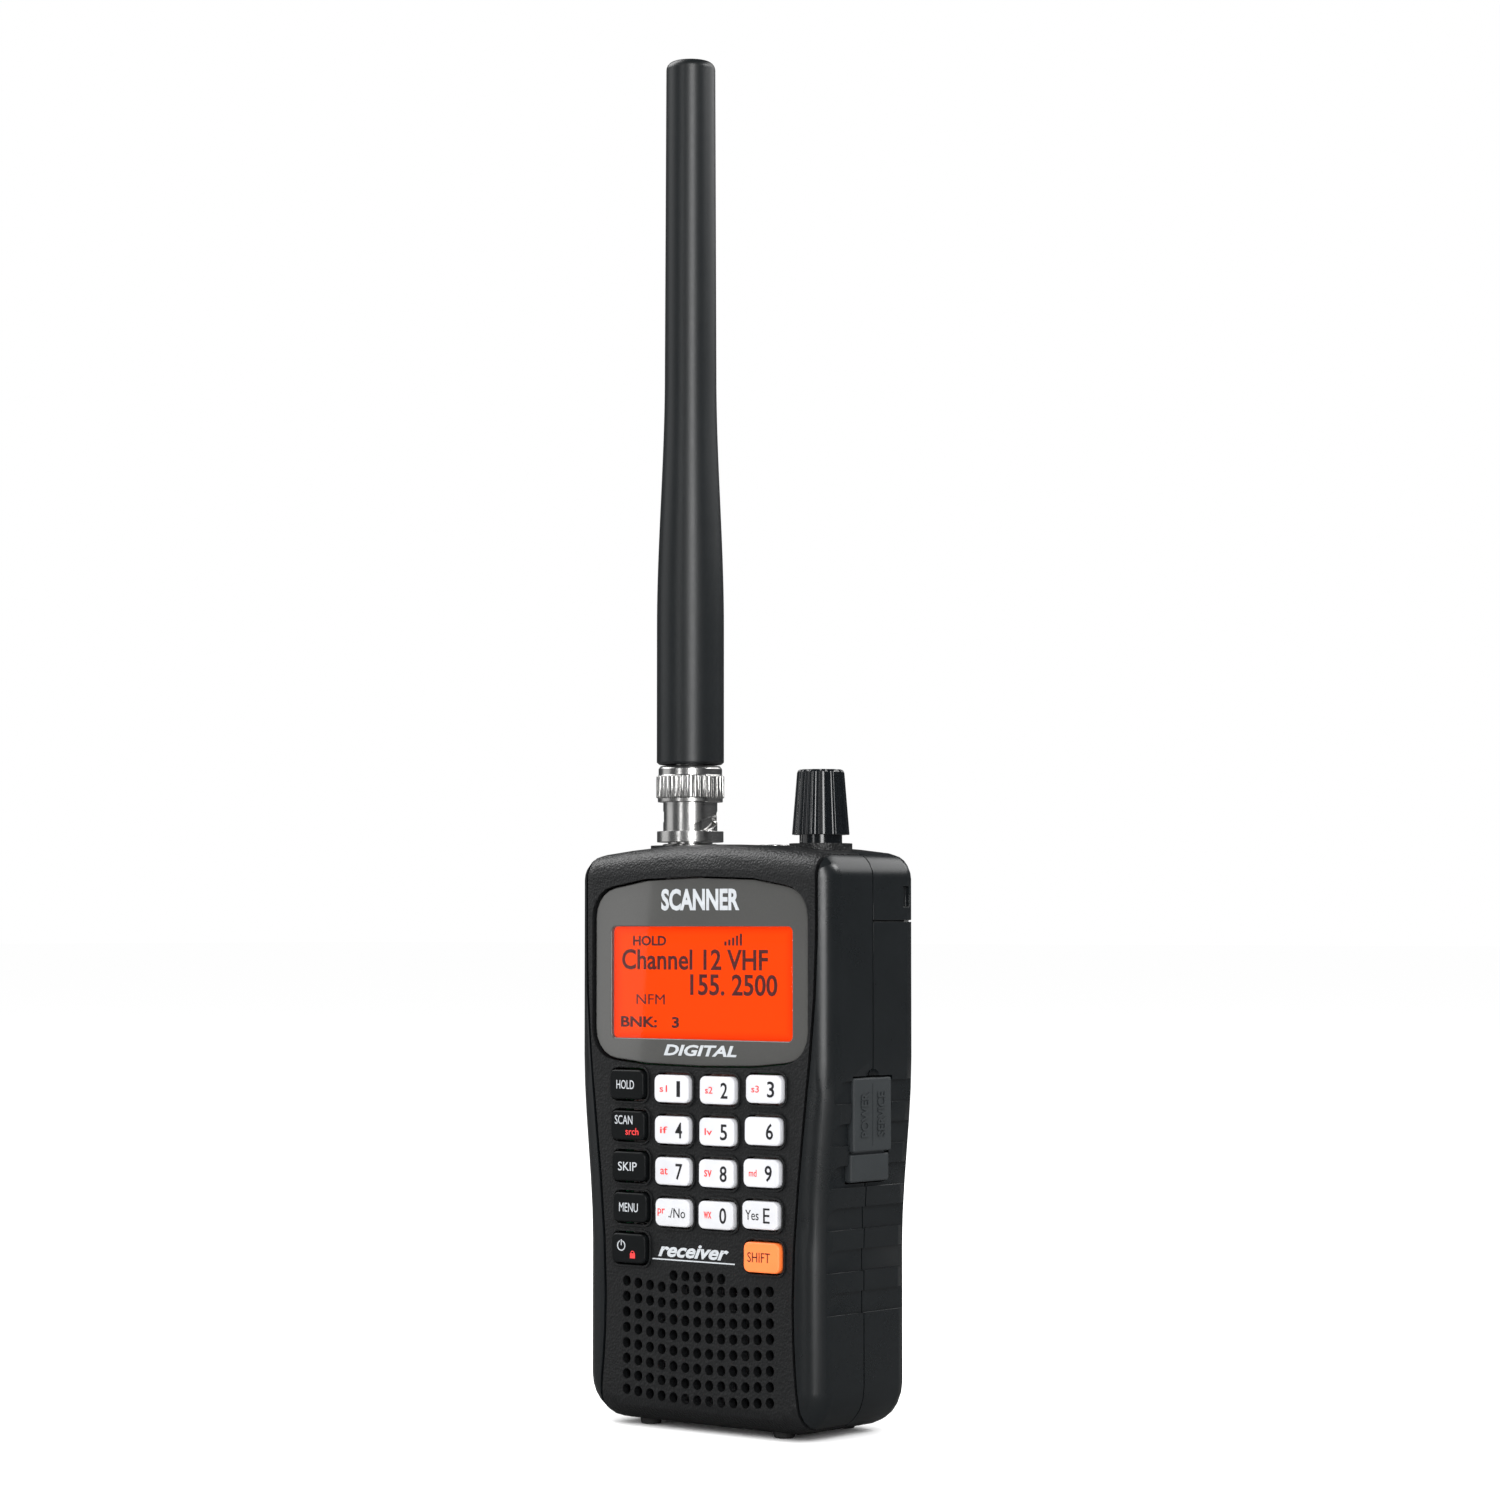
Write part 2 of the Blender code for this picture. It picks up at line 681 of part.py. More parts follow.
def make_case():
    outside = case_solid("case_outside", 0.0, EDGE_ROUND)
    hollow = cutter("case_hollow", case_solid("case_hollow", WALL, EDGE_ROUND - WALL))
    front_edge = SEAM_Y - GAP / 2
    back_edge = SEAM_Y + GAP / 2
    deck = cutter(
        "deck_region",
        box_mesh("deck_region", (-DECK_HALF, SEAM_Y - 2, DECK_Z), (DECK_HALF, DECK_BACK, CLEAR_TOP)),
    )
    deck_clear = cutter(
        "deck_clearance",
        box_mesh(
            "deck_clearance",
            (-DECK_HALF - GAP, SEAM_Y - 2, DECK_Z - GAP),
            (DECK_HALF + GAP, DECK_BACK + GAP, CLEAR_TOP),
        ),
    )
    band = cutter("panel_band", slab_mesh("panel_band", panel_outline(0.0), -25, front_edge))
    combine(band, "UNION", deck)
    seats, recesses, pocket = foot_seats(), recess_cuts(), cover_pocket()

    panel = shell("front_panel", "panel_plastic", outside, hollow, band)
    bosses = bmesh.new()
    add_cylinder(bosses, (JACK_X, JACK_Y, 0), JACK_BOSS, CASE_TOP - 2.2, BOSS_TOP, segments=32)
    add_cylinder(bosses, (KNOB_X, 0, 0), KNOB_BOSS, CASE_TOP - 2.4, BOSS_TOP, segments=28)
    combine(panel, "UNION", cutter("deck_bosses", mesh_from(bosses, "deck_bosses")))
    holes = bmesh.new()
    add_cylinder(holes, (JACK_X, JACK_Y, 0), JACK_RADIUS + GAP, CASE_TOP - 13.8, CASE_TOP + 6.2)
    add_cylinder(holes, (KNOB_X, 0, 0), KNOB_NECK + GAP, CASE_TOP - 13.8, CASE_TOP + 6.2)
    add_cylinder(holes, (PHONES_X, PHONES_Y, 0), PHONES_RADIUS + GAP, CASE_TOP - 13.8, CASE_TOP + 6.2, segments=16)
    combine(panel, "DIFFERENCE", cutter("deck_holes", mesh_from(holes, "deck_holes")))
    opening = slab_mesh("lens_opening", lens_outline(GAP), CASE_FRONT - 2, PANEL_BACK + 2)
    combine(panel, "DIFFERENCE", cutter("lens_opening", opening))
    combine(panel, "DIFFERENCE", key_cuts())
    combine(panel, "DIFFERENCE", grille_cuts())
    combine(panel, "DIFFERENCE", seats)

    clear = slab_mesh("band_clearance", panel_outline(GROOVE), -27, front_edge + 2)
    band_clear = cutter("band_clearance", clear)
    for side, name in ((-1, "side_grip_left"), (1, "side_grip_right")):
        across = sorted((side * 5, side * CLEAR_SIDE))
        half = box_mesh(name + "_region", (across[0], -25, -5), (across[1], front_edge, CLEAR_TOP))
        grip = shell(name, "case_plastic", outside, hollow, cutter(name + "_region", half))
        combine(grip, "DIFFERENCE", band_clear)
        combine(grip, "DIFFERENCE", recesses)
        if side > 0:
            combine(grip, "DIFFERENCE", pocket)

    cap_region = box_mesh("cap_region", (-CLEAR_SIDE, back_edge, DOOR_TOP + GAP / 2), (CLEAR_SIDE, CLEAR_BACK, CLEAR_TOP))
    cap = shell("rear_shell", "case_plastic", outside, hollow, cutter("cap_region", cap_region))
    tub = bmesh.new()
    add_box(
        tub,
        (-TUB_HALF, TUB_FRONT, TUB_LOW),
        (TUB_HALF, TUB_BACK, SHELF_LOW + SHELF_THICK / 2),
    )
    tub_plate = cutter("tub_plate", mesh_from(tub, "tub_plate"))
    shelf_half = GRIP_HALF - WALL / 2
    shelf = cutter(
        "shelf",
        box_mesh(
            "shelf",
            (-shelf_half + 1.5, TUB_FRONT, SHELF_LOW),
            (shelf_half - 1.5, CASE_BACK - WALL / 2, SHELF_LOW + SHELF_THICK),
        ),
    )
    combine(cap, "UNION", shelf)
    combine(cap, "UNION", tub_plate)
    combine(cap, "DIFFERENCE", deck_clear)
    screw_holes = bmesh.new()
    for x in (-SCREW_X, SCREW_X):
        place = (x, 0, SCREW_Z)
        add_cylinder(screw_holes, place, SCREW_SHANK + GAP, -8, 5, axis="Y", segments=12)
    combine(cap, "DIFFERENCE", cutter("screw_holes", mesh_from(screw_holes, "screw_holes")))
    slot = (GRIP_HALF - 1.2, CASE_BACK - EDGE_ROUND - 1, STRAP_SLOT_LOW)
    slot_mesh = box_mesh("strap_slot", slot, (CLEAR_SIDE, CASE_BACK - EDGE_ROUND + 1.2, STRAP_SLOT_HIGH))
    combine(cap, "DIFFERENCE", cutter("strap_slot", slot_mesh))

    door_region = box_mesh("door_region", (-CLEAR_SIDE, back_edge, -5), (CLEAR_SIDE, CLEAR_BACK, DOOR_TOP - GAP / 2))
    door = shell("battery_door", "case_plastic", outside, hollow, cutter("door_region", door_region))
    for cut in (recesses, pocket, seats):
        combine(door, "DIFFERENCE", cut)


def make_display():
    piece("display_lens", slab_mesh("display_lens", lens_outline(0.0), LENS_FRONT, LENS_BACK), "lens")
    low, high = (-LCD_HALF, LCD_FRONT, LCD_LOW), (LCD_HALF, LCD_BACK, LCD_HIGH)
    piece("lcd_panel", box_mesh("lcd_panel", low, high), "lcd")
    start = LCD_BACK + GAP
    rim_low = (-LCD_HALF - HOLDER_RIM, start, LCD_LOW - HOLDER_RIM)
    rim_high = (LCD_HALF + HOLDER_RIM, HOLDER_BACK, LCD_HIGH + HOLDER_RIM)
    holder = piece("lcd_holder", box_mesh("lcd_holder", rim_low, rim_high), "frame_plastic")
    inner_low = (-LCD_HALF + HOLDER_LIP, start - 1, LCD_LOW + HOLDER_LIP)
    inner_high = (LCD_HALF - HOLDER_LIP, start + HOLDER_THICK - 1, LCD_HIGH - HOLDER_LIP)
    window = cutter("light_well", box_mesh("light_well", inner_low, inner_high))
    combine(holder, "DIFFERENCE", window)


def key_mesh(name, x, z, height):
    """A key: a chamfered cap in front of a flange that keeps it behind the panel."""
    wide = (KEY_WIDTH + 2 * KEY_FLANGE, height + 2 * KEY_FLANGE, KEY_CORNER)
    cap = (KEY_WIDTH, height, KEY_CORNER)
    face = (KEY_WIDTH - 2 * KEY_CHAMFER, height - 2 * KEY_CHAMFER, KEY_CORNER - KEY_CHAMFER / 2)
    rings = (
        (FLANGE_BACK, wide),
        (FLANGE_FRONT, wide),
        (FLANGE_FRONT, cap),
        (KEY_FRONT + KEY_CHAMFER, cap),
        (KEY_FRONT, face),
    )
    bm = bmesh.new()
    loops = []
    for y, (width, tall, corner) in rings:
        outline = rounded_rectangle(x, z, width, tall, corner, steps=1)
        loops.append([bm.verts.new((px * MM, y * MM, pz * MM)) for px, pz in outline])
    count = len(loops[0])
    for near, far in zip(loops, loops[1:]):
        for i in range(count):
            j = (i + 1) % count
            bm.faces.new((near[i], near[j], far[j], far[i]))
    bm.faces.new(loops[0])
    bm.faces.new(loops[-1])
    return mesh_from(bm, name)


def make_keys():
    for name, x, z, finish, height in key_places():
        piece(name, key_mesh(name, x, z, height), finish, place=(x, FLANGE_BACK, z))
    margin = KEY_WIDTH / 2 + MEMBRANE_MARGIN
    half = max(KEY_PITCHES[0], KEY_PITCHES[-1]) * 1.5 + margin - 2
    low = KEY_TOP_ROW - KEY_ROW_STEP * 4 - WIDE_KEY_HEIGHT / 2
    high = KEY_TOP_ROW + WIDE_KEY_HEIGHT / 2
    back = BOARD_FRONT - GAP
    bm = bmesh.new()
    add_box(bm, (-half, back - MEMBRANE_THICK, low), (half, back, high))
    membrane = piece("keypad_membrane", mesh_from(bm, "keypad_membrane"), "membrane_rubber")
    posts = bmesh.new()
    for _, x, z, _, _ in key_places():
        place = (x, 0, z)
        start, end = POST_FRONT, back - MEMBRANE_THICK / 2
        add_cylinder(posts, place, POST_SIZE / 2, start, end, axis="Y", segments=6)
    combine(membrane, "UNION", cutter("key_posts", mesh_from(posts, "key_posts")))


def make_speaker():
    front = PANEL_BACK + GAP + 0.2
    rim, back = front + 1.6, front + SPEAKER_DEPTH
    radius = SPEAKER_RADIUS
    profile = [
        (radius, -front),
        (radius, -rim),
        (MAGNET_RADIUS, -(back - 2.4)),
        (MAGNET_RADIUS, -back),
        (VENT_RADIUS, -back),
        (VENT_RADIUS, -(back - 1.5)),
        (MAGNET_RADIUS - 1.2, -(back - 3.0)),
        (radius - 1.4, -(rim - 0.3)),
        (radius - 1.4, -front),
    ]
    frame = turned_mesh("speaker_frame", profile, 20, (0, 0, 0))
    turn = Matrix.Translation((0, 0, SPEAKER_Z * MM)) @ Matrix.Rotation(math.radians(90), 4, "X")
    frame.transform(turn)
    piece("speaker_frame", frame, "speaker_metal")
    cone_radius = radius - 1.4 - GAP
    cone_front = front + 0.2
    profile = [
        (0, -(cone_front + 2.0)),
        (2.0, -(cone_front + 1.6)),
        (cone_radius, -cone_front),
        (cone_radius, -(cone_front + 0.6)),
        (2.0, -(cone_front + 2.2)),
        (0, -(cone_front + 2.6)),
    ]
    cone = turned_mesh("speaker_cone", profile, 20, (0, 0, 0))
    cone.transform(turn)
    piece("speaker_cone", cone, "speaker_paper")


def make_board_and_cells():
    low = (-BOARD_HALF, BOARD_FRONT, BOARD_LOW)
    high = (BOARD_HALF, BOARD_FRONT + BOARD_THICK, BOARD_HIGH)
    board = piece("main_board", box_mesh("main_board", low, high), "circuit_board")
    holes = bmesh.new()
    for x in (-SCREW_X, SCREW_X):
        place = (x, 0, SCREW_Z)
        add_cylinder(holes, place, SCREW_SHANK + GAP, -10, -5, axis="Y", segments=12)
    combine(board, "DIFFERENCE", cutter("board_holes", mesh_from(holes, "board_holes")))
    cell_high = CELL_LOW + CELL_LENGTH
    for number, side in ((1, -1), (2, 1)):
        x = side * CELL_SPACING / 2
        tip, body = (cell_high + CELL_TIP, cell_high) if side > 0 else (CELL_LOW, CELL_LOW + CELL_TIP)
        if side > 0:
            profile = [(0, tip), (CELL_TIP_RADIUS, tip), (CELL_TIP_RADIUS, body)]
            profile += [(CELL_RADIUS, body), (CELL_RADIUS, CELL_LOW), (0, CELL_LOW)]
        else:
            top = cell_high + CELL_TIP
            profile = [(0, top), (CELL_RADIUS, top), (CELL_RADIUS, body)]
            profile += [(CELL_TIP_RADIUS, body), (CELL_TIP_RADIUS, tip), (0, tip)]
        mesh = turned_mesh(f"battery_cell_{number}", profile, 20, (x, CELL_Y, 0))
        piece(f"battery_cell_{number}", mesh, "cell_jacket")
    link_low = (-CELL_SPACING / 2 - 5, CELL_Y - 4, CELL_LOW - GAP - CONTACT_THICK)
    link_high = (CELL_SPACING / 2 + 5, CELL_Y + 4, CELL_LOW - GAP)
    link = box_mesh("battery_link_contact", link_low, link_high)
    piece("battery_link_contact", link, "steel")
    top = cell_high + CELL_TIP + GAP
    plate_low = (CELL_SPACING / 2 - 4, CELL_Y - 4, top)
    plate_high = (CELL_SPACING / 2 + 4, CELL_Y + 4, top + CONTACT_THICK)
    piece("battery_plate", box_mesh("battery_plate", plate_low, plate_high), "steel")
    turns, steps, wire = 3, 10, 0.4
    points = []
    for i in range(turns * steps + 1):
        angle = 2 * math.pi * i / steps
        share = i / (turns * steps)
        radius = 4.4 - 1.6 * share
        z = top + wire + SPRING_LENGTH * share
        x = -CELL_SPACING / 2 + radius * math.cos(angle)
        points.append((x, CELL_Y + radius * math.sin(angle), z))
    piece("battery_spring", tube_mesh("battery_spring", points, wire, 1), "steel")
    for side, name in ((-1, "case_screw_left"), (1, "case_screw_right")):
        head, under, tip = TUB_BACK + GAP + 1.2, TUB_BACK + GAP, BOARD_FRONT + 0.4
        profile = [(0, head), (SCREW_HEAD, head), (SCREW_HEAD, under)]
        profile += [(SCREW_SHANK, under), (SCREW_SHANK, tip), (0, tip)]
        mesh = turned_mesh(name, profile, 12, (0, 0, 0))
        turn = Matrix.Rotation(math.radians(-90), 4, "X")
        mesh.transform(Matrix.Translation((side * SCREW_X * MM, 0, SCREW_Z * MM)) @ turn)
        piece(name, mesh, "steel")


def make_connector():
    centre = (JACK_X, JACK_Y, 0)
    profile = [
        (JACK_RADIUS, JACK_HIGH),
        (JACK_RADIUS, JACK_LOW),
        (JACK_BORE, JACK_LOW),
        (JACK_BORE, JACK_HIGH),
    ]
    jack = piece("bnc_jack", turned_mesh("bnc_jack", profile, 20, centre), "nickel")
    lugs = bmesh.new()
    for angle in (LUG_ANGLE, LUG_ANGLE + 180):
        turn = Matrix.Rotation(math.radians(angle), 4, "Z")
        lug = bmesh.new()
        add_cylinder(lug, (0, 0, LUG_Z), LUG_RADIUS, JACK_BORE + 0.4, LUG_REACH, axis="X", segments=12)
        mesh = mesh_from(lug, "lug")
        mesh.transform(Matrix.Translation((JACK_X * MM, JACK_Y * MM, 0)) @ turn)
        lugs.from_mesh(mesh)
    combine(jack, "UNION", cutter("jack_lugs", mesh_from(lugs, "jack_lugs")))

    radius, depth = JACK_BORE - GAP, 9.0
    top = JACK_HIGH - 1.0
    profile = [
        (0, top - depth),
        (0.9, top - depth),
        (0.9, top),
        (radius, top),
        (radius, JACK_LOW + 1),
        (0, JACK_LOW + 1),
    ]
    piece("bnc_insulator", turned_mesh("bnc_insulator", profile, 16, centre), "insulator")

    under = CASE_TOP - CROWN_DROP - WALL - 1.4
    bm = bmesh.new()
    add_cylinder(bm, centre, PANEL_NUT_RADIUS, under - PANEL_NUT_THICK, under, segments=6)
    nut = piece("bnc_panel_nut", mesh_from(bm, "bnc_panel_nut"), "nickel")
    hole = cylinder_mesh("panel_nut_hole", centre, JACK_RADIUS + GAP, JACK_LOW - 4, CASE_TOP + 1.2)
    combine(nut, "DIFFERENCE", cutter("panel_nut_hole", hole))

    bore, throat = JACK_RADIUS + GAP, STEM_RADIUS + GAP
    disc_low = JACK_HIGH + 0.6
    disc_high = NUT_KNURL_TOP - 1.4
    profile = [
        (throat, NUT_TOP),
        (NUT_KNURL - 0.9, NUT_TOP),
        (NUT_KNURL - 0.45, NUT_TOP - 0.6),
        (NUT_KNURL - 0.45, NUT_KNURL_TOP),
        (NUT_KNURL, NUT_KNURL_TOP - 0.2),
        (NUT_KNURL, NUT_BARREL_TOP + 0.9),
        (NUT_KNURL - 0.3, NUT_BARREL_TOP + 0.8),
        (NUT_KNURL - 0.3, NUT_BARREL_TOP),
        (NUT_BARREL, NUT_BARREL_TOP),
        (NUT_BARREL, NUT_LOW + NUT_FLANGE_HIGH),
        (NUT_FLANGE, NUT_LOW + NUT_FLANGE_HIGH),
        (NUT_FLANGE, NUT_LOW),
        (bore, NUT_LOW),
        (bore, disc_high + GAP),
        (throat, disc_high + GAP),
    ]
    ring = turned_mesh("coupling_nut", profile, 32, centre)
    nut = piece("coupling_nut", ring, "nickel", place=(JACK_X, JACK_Y, NUT_LOW))
    for number, start in enumerate((LUG_ANGLE, LUG_ANGLE + 180)):
        spare = math.degrees((LUG_RADIUS + GAP) / NUT_BARREL)
        path = [(math.radians(start + spare), LUG_Z)]
        steps = 6
        for i in range(steps + 1):
            angle = math.radians(start - NUT_TWIST * i / steps)
            z = LUG_Z - NUT_RISE * i / steps
            path.append((angle, z))
        path.append((path[-1][0], NUT_LOW - 1.5))
        points = []
        for angle, z in path:
            reach = (bore + NUT_BARREL) / 2
            x, y = JACK_X + reach * math.cos(angle), JACK_Y + reach * math.sin(angle)
            points.append((x, y, z))
        name = f"bayonet_slot_{number + 1}"
        combine(nut, "DIFFERENCE", cutter(name, tube_mesh(name, points, SLOT_RADIUS, 2)))

    profile = [
        (0, SLEEVE_LOW + 7),
        (STEM_RADIUS, SLEEVE_LOW + 7),
        (STEM_RADIUS, disc_high),
        (PLUG_DISC, disc_high),
        (PLUG_DISC, disc_low),
        (0.5, disc_low),
        (0.5, JACK_HIGH - 6),
        (0, JACK_HIGH - 6),
    ]
    piece("plug_body", turned_mesh("plug_body", profile, 16, centre), "nickel")


def make_antenna():
    centre = (JACK_X, JACK_Y, 0)
    outer = []
    levels = [0, SLEEVE_TAPER_START, 36, 44, 52, 60, 69, SLEEVE_TAPER_END, SLEEVE_LENGTH - 1.6]
    for height in levels:
        taper = ease(SLEEVE_TAPER_START, SLEEVE_TAPER_END, height)
        upper = max(height - SLEEVE_TAPER_END, 0) / (SLEEVE_LENGTH - SLEEVE_TAPER_END)
        radius = SLEEVE_BASE + (SLEEVE_MID - SLEEVE_BASE) * taper + (SLEEVE_TIP - SLEEVE_MID) * upper
        outer.append((radius, SLEEVE_LOW + height))
    tip = SLEEVE_LOW + SLEEVE_LENGTH
    bore_top = tip - 8
    profile = [(0, tip), (SLEEVE_TIP - 1.6, tip), (SLEEVE_TIP - 0.5, tip - 0.5)]
    profile += list(reversed(outer))
    profile += [(SLEEVE_BORE, SLEEVE_LOW), (SLEEVE_BORE, bore_top), (0, bore_top)]
    piece("antenna_sleeve", turned_mesh("antenna_sleeve", profile, 24, centre), "antenna_rubber")
    steps = 8
    low, high = SLEEVE_LOW + 9, bore_top - 3
    points = []
    for i in range(COIL_TURNS * steps + 1):
        angle = 2 * math.pi * i / steps
        z = low + (high - low) * i / (COIL_TURNS * steps)
        points.append(
            (JACK_X + COIL_RADIUS * math.cos(angle), JACK_Y + COIL_RADIUS * math.sin(angle), z)
        )
    piece("antenna_coil", tube_mesh("antenna_coil", points, COIL_WIRE, 0), "copper")


def make_knob():
    sides = KNOB_RIBS * 4
    bm = bmesh.new()
    add_cylinder(
        bm, (KNOB_X, 0, 0), KNOB_BASE, KNOB_LOW, KNOB_HIGH, segments=sides, end_radius=KNOB_TIP
    )
    for vert in bm.verts:
        x, y = vert.co.x - KNOB_X * MM, vert.co.y
        turn = round(math.degrees(math.atan2(y, x)) % 360 / (360 / sides) - 0.5) % 4
        if turn in (0, 1):
            shrink = 1 - KNOB_FLUTE / (math.hypot(x, y) / MM)
            vert.co.x, vert.co.y = KNOB_X * MM + x * shrink, y * shrink
    knob = piece("control_knob", mesh_from(bm, "control_knob"), "knob_plastic", (KNOB_X, 0, KNOB_LOW))
    neck = cylinder_mesh("knob_neck", (KNOB_X, 0, 0), KNOB_NECK, KNOB_NECK_LOW, KNOB_LOW + 2)
    combine(knob, "UNION", cutter("knob_neck", neck))
    bore_top = KNOB_HIGH - KNOB_TOP_WALL
    bore = cylinder_mesh(
        "knob_bore", (KNOB_X, 0, 0), SHAFT_RADIUS + GAP, KNOB_NECK_LOW - 2, bore_top, segments=16
    )
    combine(knob, "DIFFERENCE", cutter("knob_bore", bore))
    floor = ENCODER_LOW + 1.2
    shaft = cylinder_mesh(
        "encoder_shaft",
        (KNOB_X, 0, 0),
        SHAFT_RADIUS,
        floor + GAP + KNOB_TRAVEL + 0.3,
        bore_top - GAP,
        segments=16,
    )
    piece("encoder_shaft", shaft, "steel", place=(KNOB_X, 0, KNOB_LOW))
    profile = [
        (ROTOR_RADIUS, ROTOR_HIGH),
        (ROTOR_RADIUS, floor + GAP),
        (SHAFT_RADIUS + GAP, floor + GAP),
        (SHAFT_RADIUS + GAP, ROTOR_HIGH),
    ]
    rotor = turned_mesh("encoder_rotor", profile, 16, (KNOB_X, 0, 0))
    piece("encoder_rotor", rotor, "steel", place=(KNOB_X, 0, floor))
    low = (KNOB_X - ENCODER_HALF, -ENCODER_HALF + 0.3, ENCODER_LOW)
    high = (KNOB_X + ENCODER_HALF, ENCODER_HALF, ENCODER_HIGH)
    housing = piece("encoder_housing", box_mesh("encoder_housing", low, high), "steel")
    well = bmesh.new()
    add_cylinder(well, (KNOB_X, 0, 0), ROTOR_RADIUS + GAP, floor, ENCODER_HIGH + 3)
    combine(housing, "DIFFERENCE", cutter("rotor_well", mesh_from(well, "rotor_well")))


def make_sockets():
    centre = (PHONES_X, PHONES_Y, 0)
    profile = [
        (PHONES_BORE, BOSS_TOP),
        (PHONES_RADIUS, BOSS_TOP),
        (PHONES_RADIUS, PHONES_LOW),
        (PHONES_BORE, PHONES_LOW),
    ]
    piece("phones_jack", turned_mesh("phones_jack", profile, 16, centre), "nickel")
    low = (SOCKET_BACK, COVER_FRONT + 0.6, SOCKET_LOW)
    high = (SOCKET_FACE, COVER_BACK - 0.6, SOCKET_HIGH)
    block = piece("side_socket_block", box_mesh("side_socket_block", low, high), "frame_plastic")
    ports = bmesh.new()
    middle = (SOCKET_LOW + SOCKET_HIGH) / 2
    add_box(ports, (SOCKET_FACE - 5, -5.2, middle - 3.6), (SOCKET_FACE + 2, -2.4, middle + 3.6))
    add_cylinder(
        ports, (0, 1.6, middle), 1.75, SOCKET_FACE - 5, SOCKET_FACE + 2, axis="X", segments=14
    )
    combine(block, "DIFFERENCE", cutter("side_ports", mesh_from(ports, "side_ports")))


def make_jack_cover():
    low = (COVER_FACE - COVER_THICK, COVER_FRONT, COVER_LOW)
    flap = box_mesh("jack_cover_flap", low, (COVER_FACE, COVER_BACK, COVER_TOP))
    piece("jack_cover_flap", flap, "cover_rubber", place=(COVER_FACE - 0.3, 0, COVER_LOW + 0.35))
    low = (ANCHOR_FACE - COVER_THICK, COVER_FRONT, ANCHOR_LOW)
    anchor = box_mesh("jack_cover_anchor", low, (ANCHOR_FACE, COVER_BACK, ANCHOR_TOP))
    piece("jack_cover_anchor", anchor, "cover_rubber")


def make_feet():
    for row, y in (("front", -FOOT_Y), ("rear", FOOT_Y)):
        for side, x in (("left", -FOOT_X), ("right", FOOT_X)):
            name = f"foot_{row}_{side}"
            low, high = -FOOT_HIGH, FOOT_SEAT - GAP
            mesh = cylinder_mesh(name, (x, y, 0), FOOT_RADIUS - 0.2, low, high, "Z", 16, FOOT_RADIUS)
            piece(name, mesh, "foot_rubber")


def make_belt_clip():
    base_front = CASE_BACK + GAP
    base_back = base_front + CLIP_BASE_THICK
    bm = bmesh.new()
    add_box(bm, (-CLIP_HALF, base_front, CLIP_BASE_LOW), (CLIP_HALF, base_back, CLIP_BASE_HIGH))
    base = piece("clip_base", mesh_from(bm, "clip_base"), "case_plastic")
    ears = bmesh.new()
    ear_out = CLIP_HALF - 1.0
    ear_in = ear_out - CLIP_EAR_THICK
    for side in (-1, 1):
        across = sorted((side * ear_in, side * ear_out))
        low = (across[0], base_front + 0.5, CLIP_PIN_Z - CLIP_EAR_HALF)
        add_box(ears, low, (across[1], CLIP_PIN_Y + CLIP_EAR_HALF, CLIP_PIN_Z + CLIP_EAR_HALF))
    combine(base, "UNION", cutter("clip_ears", mesh_from(ears, "clip_ears")))
    bore_radius = CLIP_PIN_RADIUS + 0.2
    place = (0, CLIP_PIN_Y, CLIP_PIN_Z)
    bore = cylinder_mesh("clip_bore", place, bore_radius, -20, 20, axis="X", segments=12)
    bore = cutter("clip_bore", bore)
    combine(base, "DIFFERENCE", bore)
    pin = cylinder_mesh(
        "clip_pin", place, CLIP_PIN_RADIUS, -ear_out - 0.5, ear_out + 0.5, axis="X", segments=12
    )
    piece("clip_pin", pin, "steel")

    inner = CLIP_LEVER_FACE - CLIP_LEVER_THICK
    bm = bmesh.new()
    add_box(bm, (-CLIP_HALF, inner, CLIP_LEVER_LOW), (CLIP_HALF, CLIP_LEVER_FACE, CLIP_LEVER_HIGH))
    lever = piece("clip_lever", mesh_from(bm, "clip_lever"), "case_plastic", place=place)
    extras = bmesh.new()
    add_box(
        extras,
        (-CLIP_HALF, CLIP_LEVER_FACE - CLIP_NOSE, CLIP_LEVER_LOW),
        (CLIP_HALF, CLIP_LEVER_FACE - 0.5, CLIP_LEVER_LOW + 1.6),
    )
    lug_out = ear_in - GAP
    for side in (-1, 1):
        across = sorted((side * (lug_out - 1.6), side * lug_out))
        low = (across[0], CLIP_PIN_Y - CLIP_EAR_HALF, CLIP_PIN_Z - CLIP_EAR_HALF)
        add_box(extras, low, (across[1], inner + 0.5, CLIP_PIN_Z + CLIP_EAR_HALF))
    combine(lever, "UNION", cutter("clip_lugs", mesh_from(extras, "clip_lugs")))
    combine(lever, "DIFFERENCE", bore)
    turns, steps, wire = 2, 8, 0.3
    points = []
    width = lug_out - 1.6 - 1.0
    for i in range(turns * steps + 1):
        angle = 2 * math.pi * i / steps
        radius = CLIP_PIN_RADIUS + 0.2 + wire
        x = -width + 2 * width * i / (turns * steps)
        y = CLIP_PIN_Y + radius * math.cos(angle)
        points.append((x, y, CLIP_PIN_Z + radius * math.sin(angle)))
    piece("clip_spring", tube_mesh("clip_spring", points, wire, 0), "steel")


clear_scene()
PARTS = new_collection("radio_scanner")
CUTTERS = new_collection("cutters")
CASE_FRAME = bpy.data.objects.new("case_frame", None)
PARTS.objects.link(CASE_FRAME)
make_case()
make_display()
make_keys()
make_speaker()
make_board_and_cells()
make_connector()
make_antenna()
make_knob()
make_sockets()
make_jack_cover()
make_feet()
make_belt_clip()
CASE_FRAME.location = (0, DEPTH_SHIFT * MM, FOOT_HIGH * MM)
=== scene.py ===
"""Handheld radio scanner: the finished look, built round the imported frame."""

import json
import math

import bpy
from mathutils import Matrix, Vector


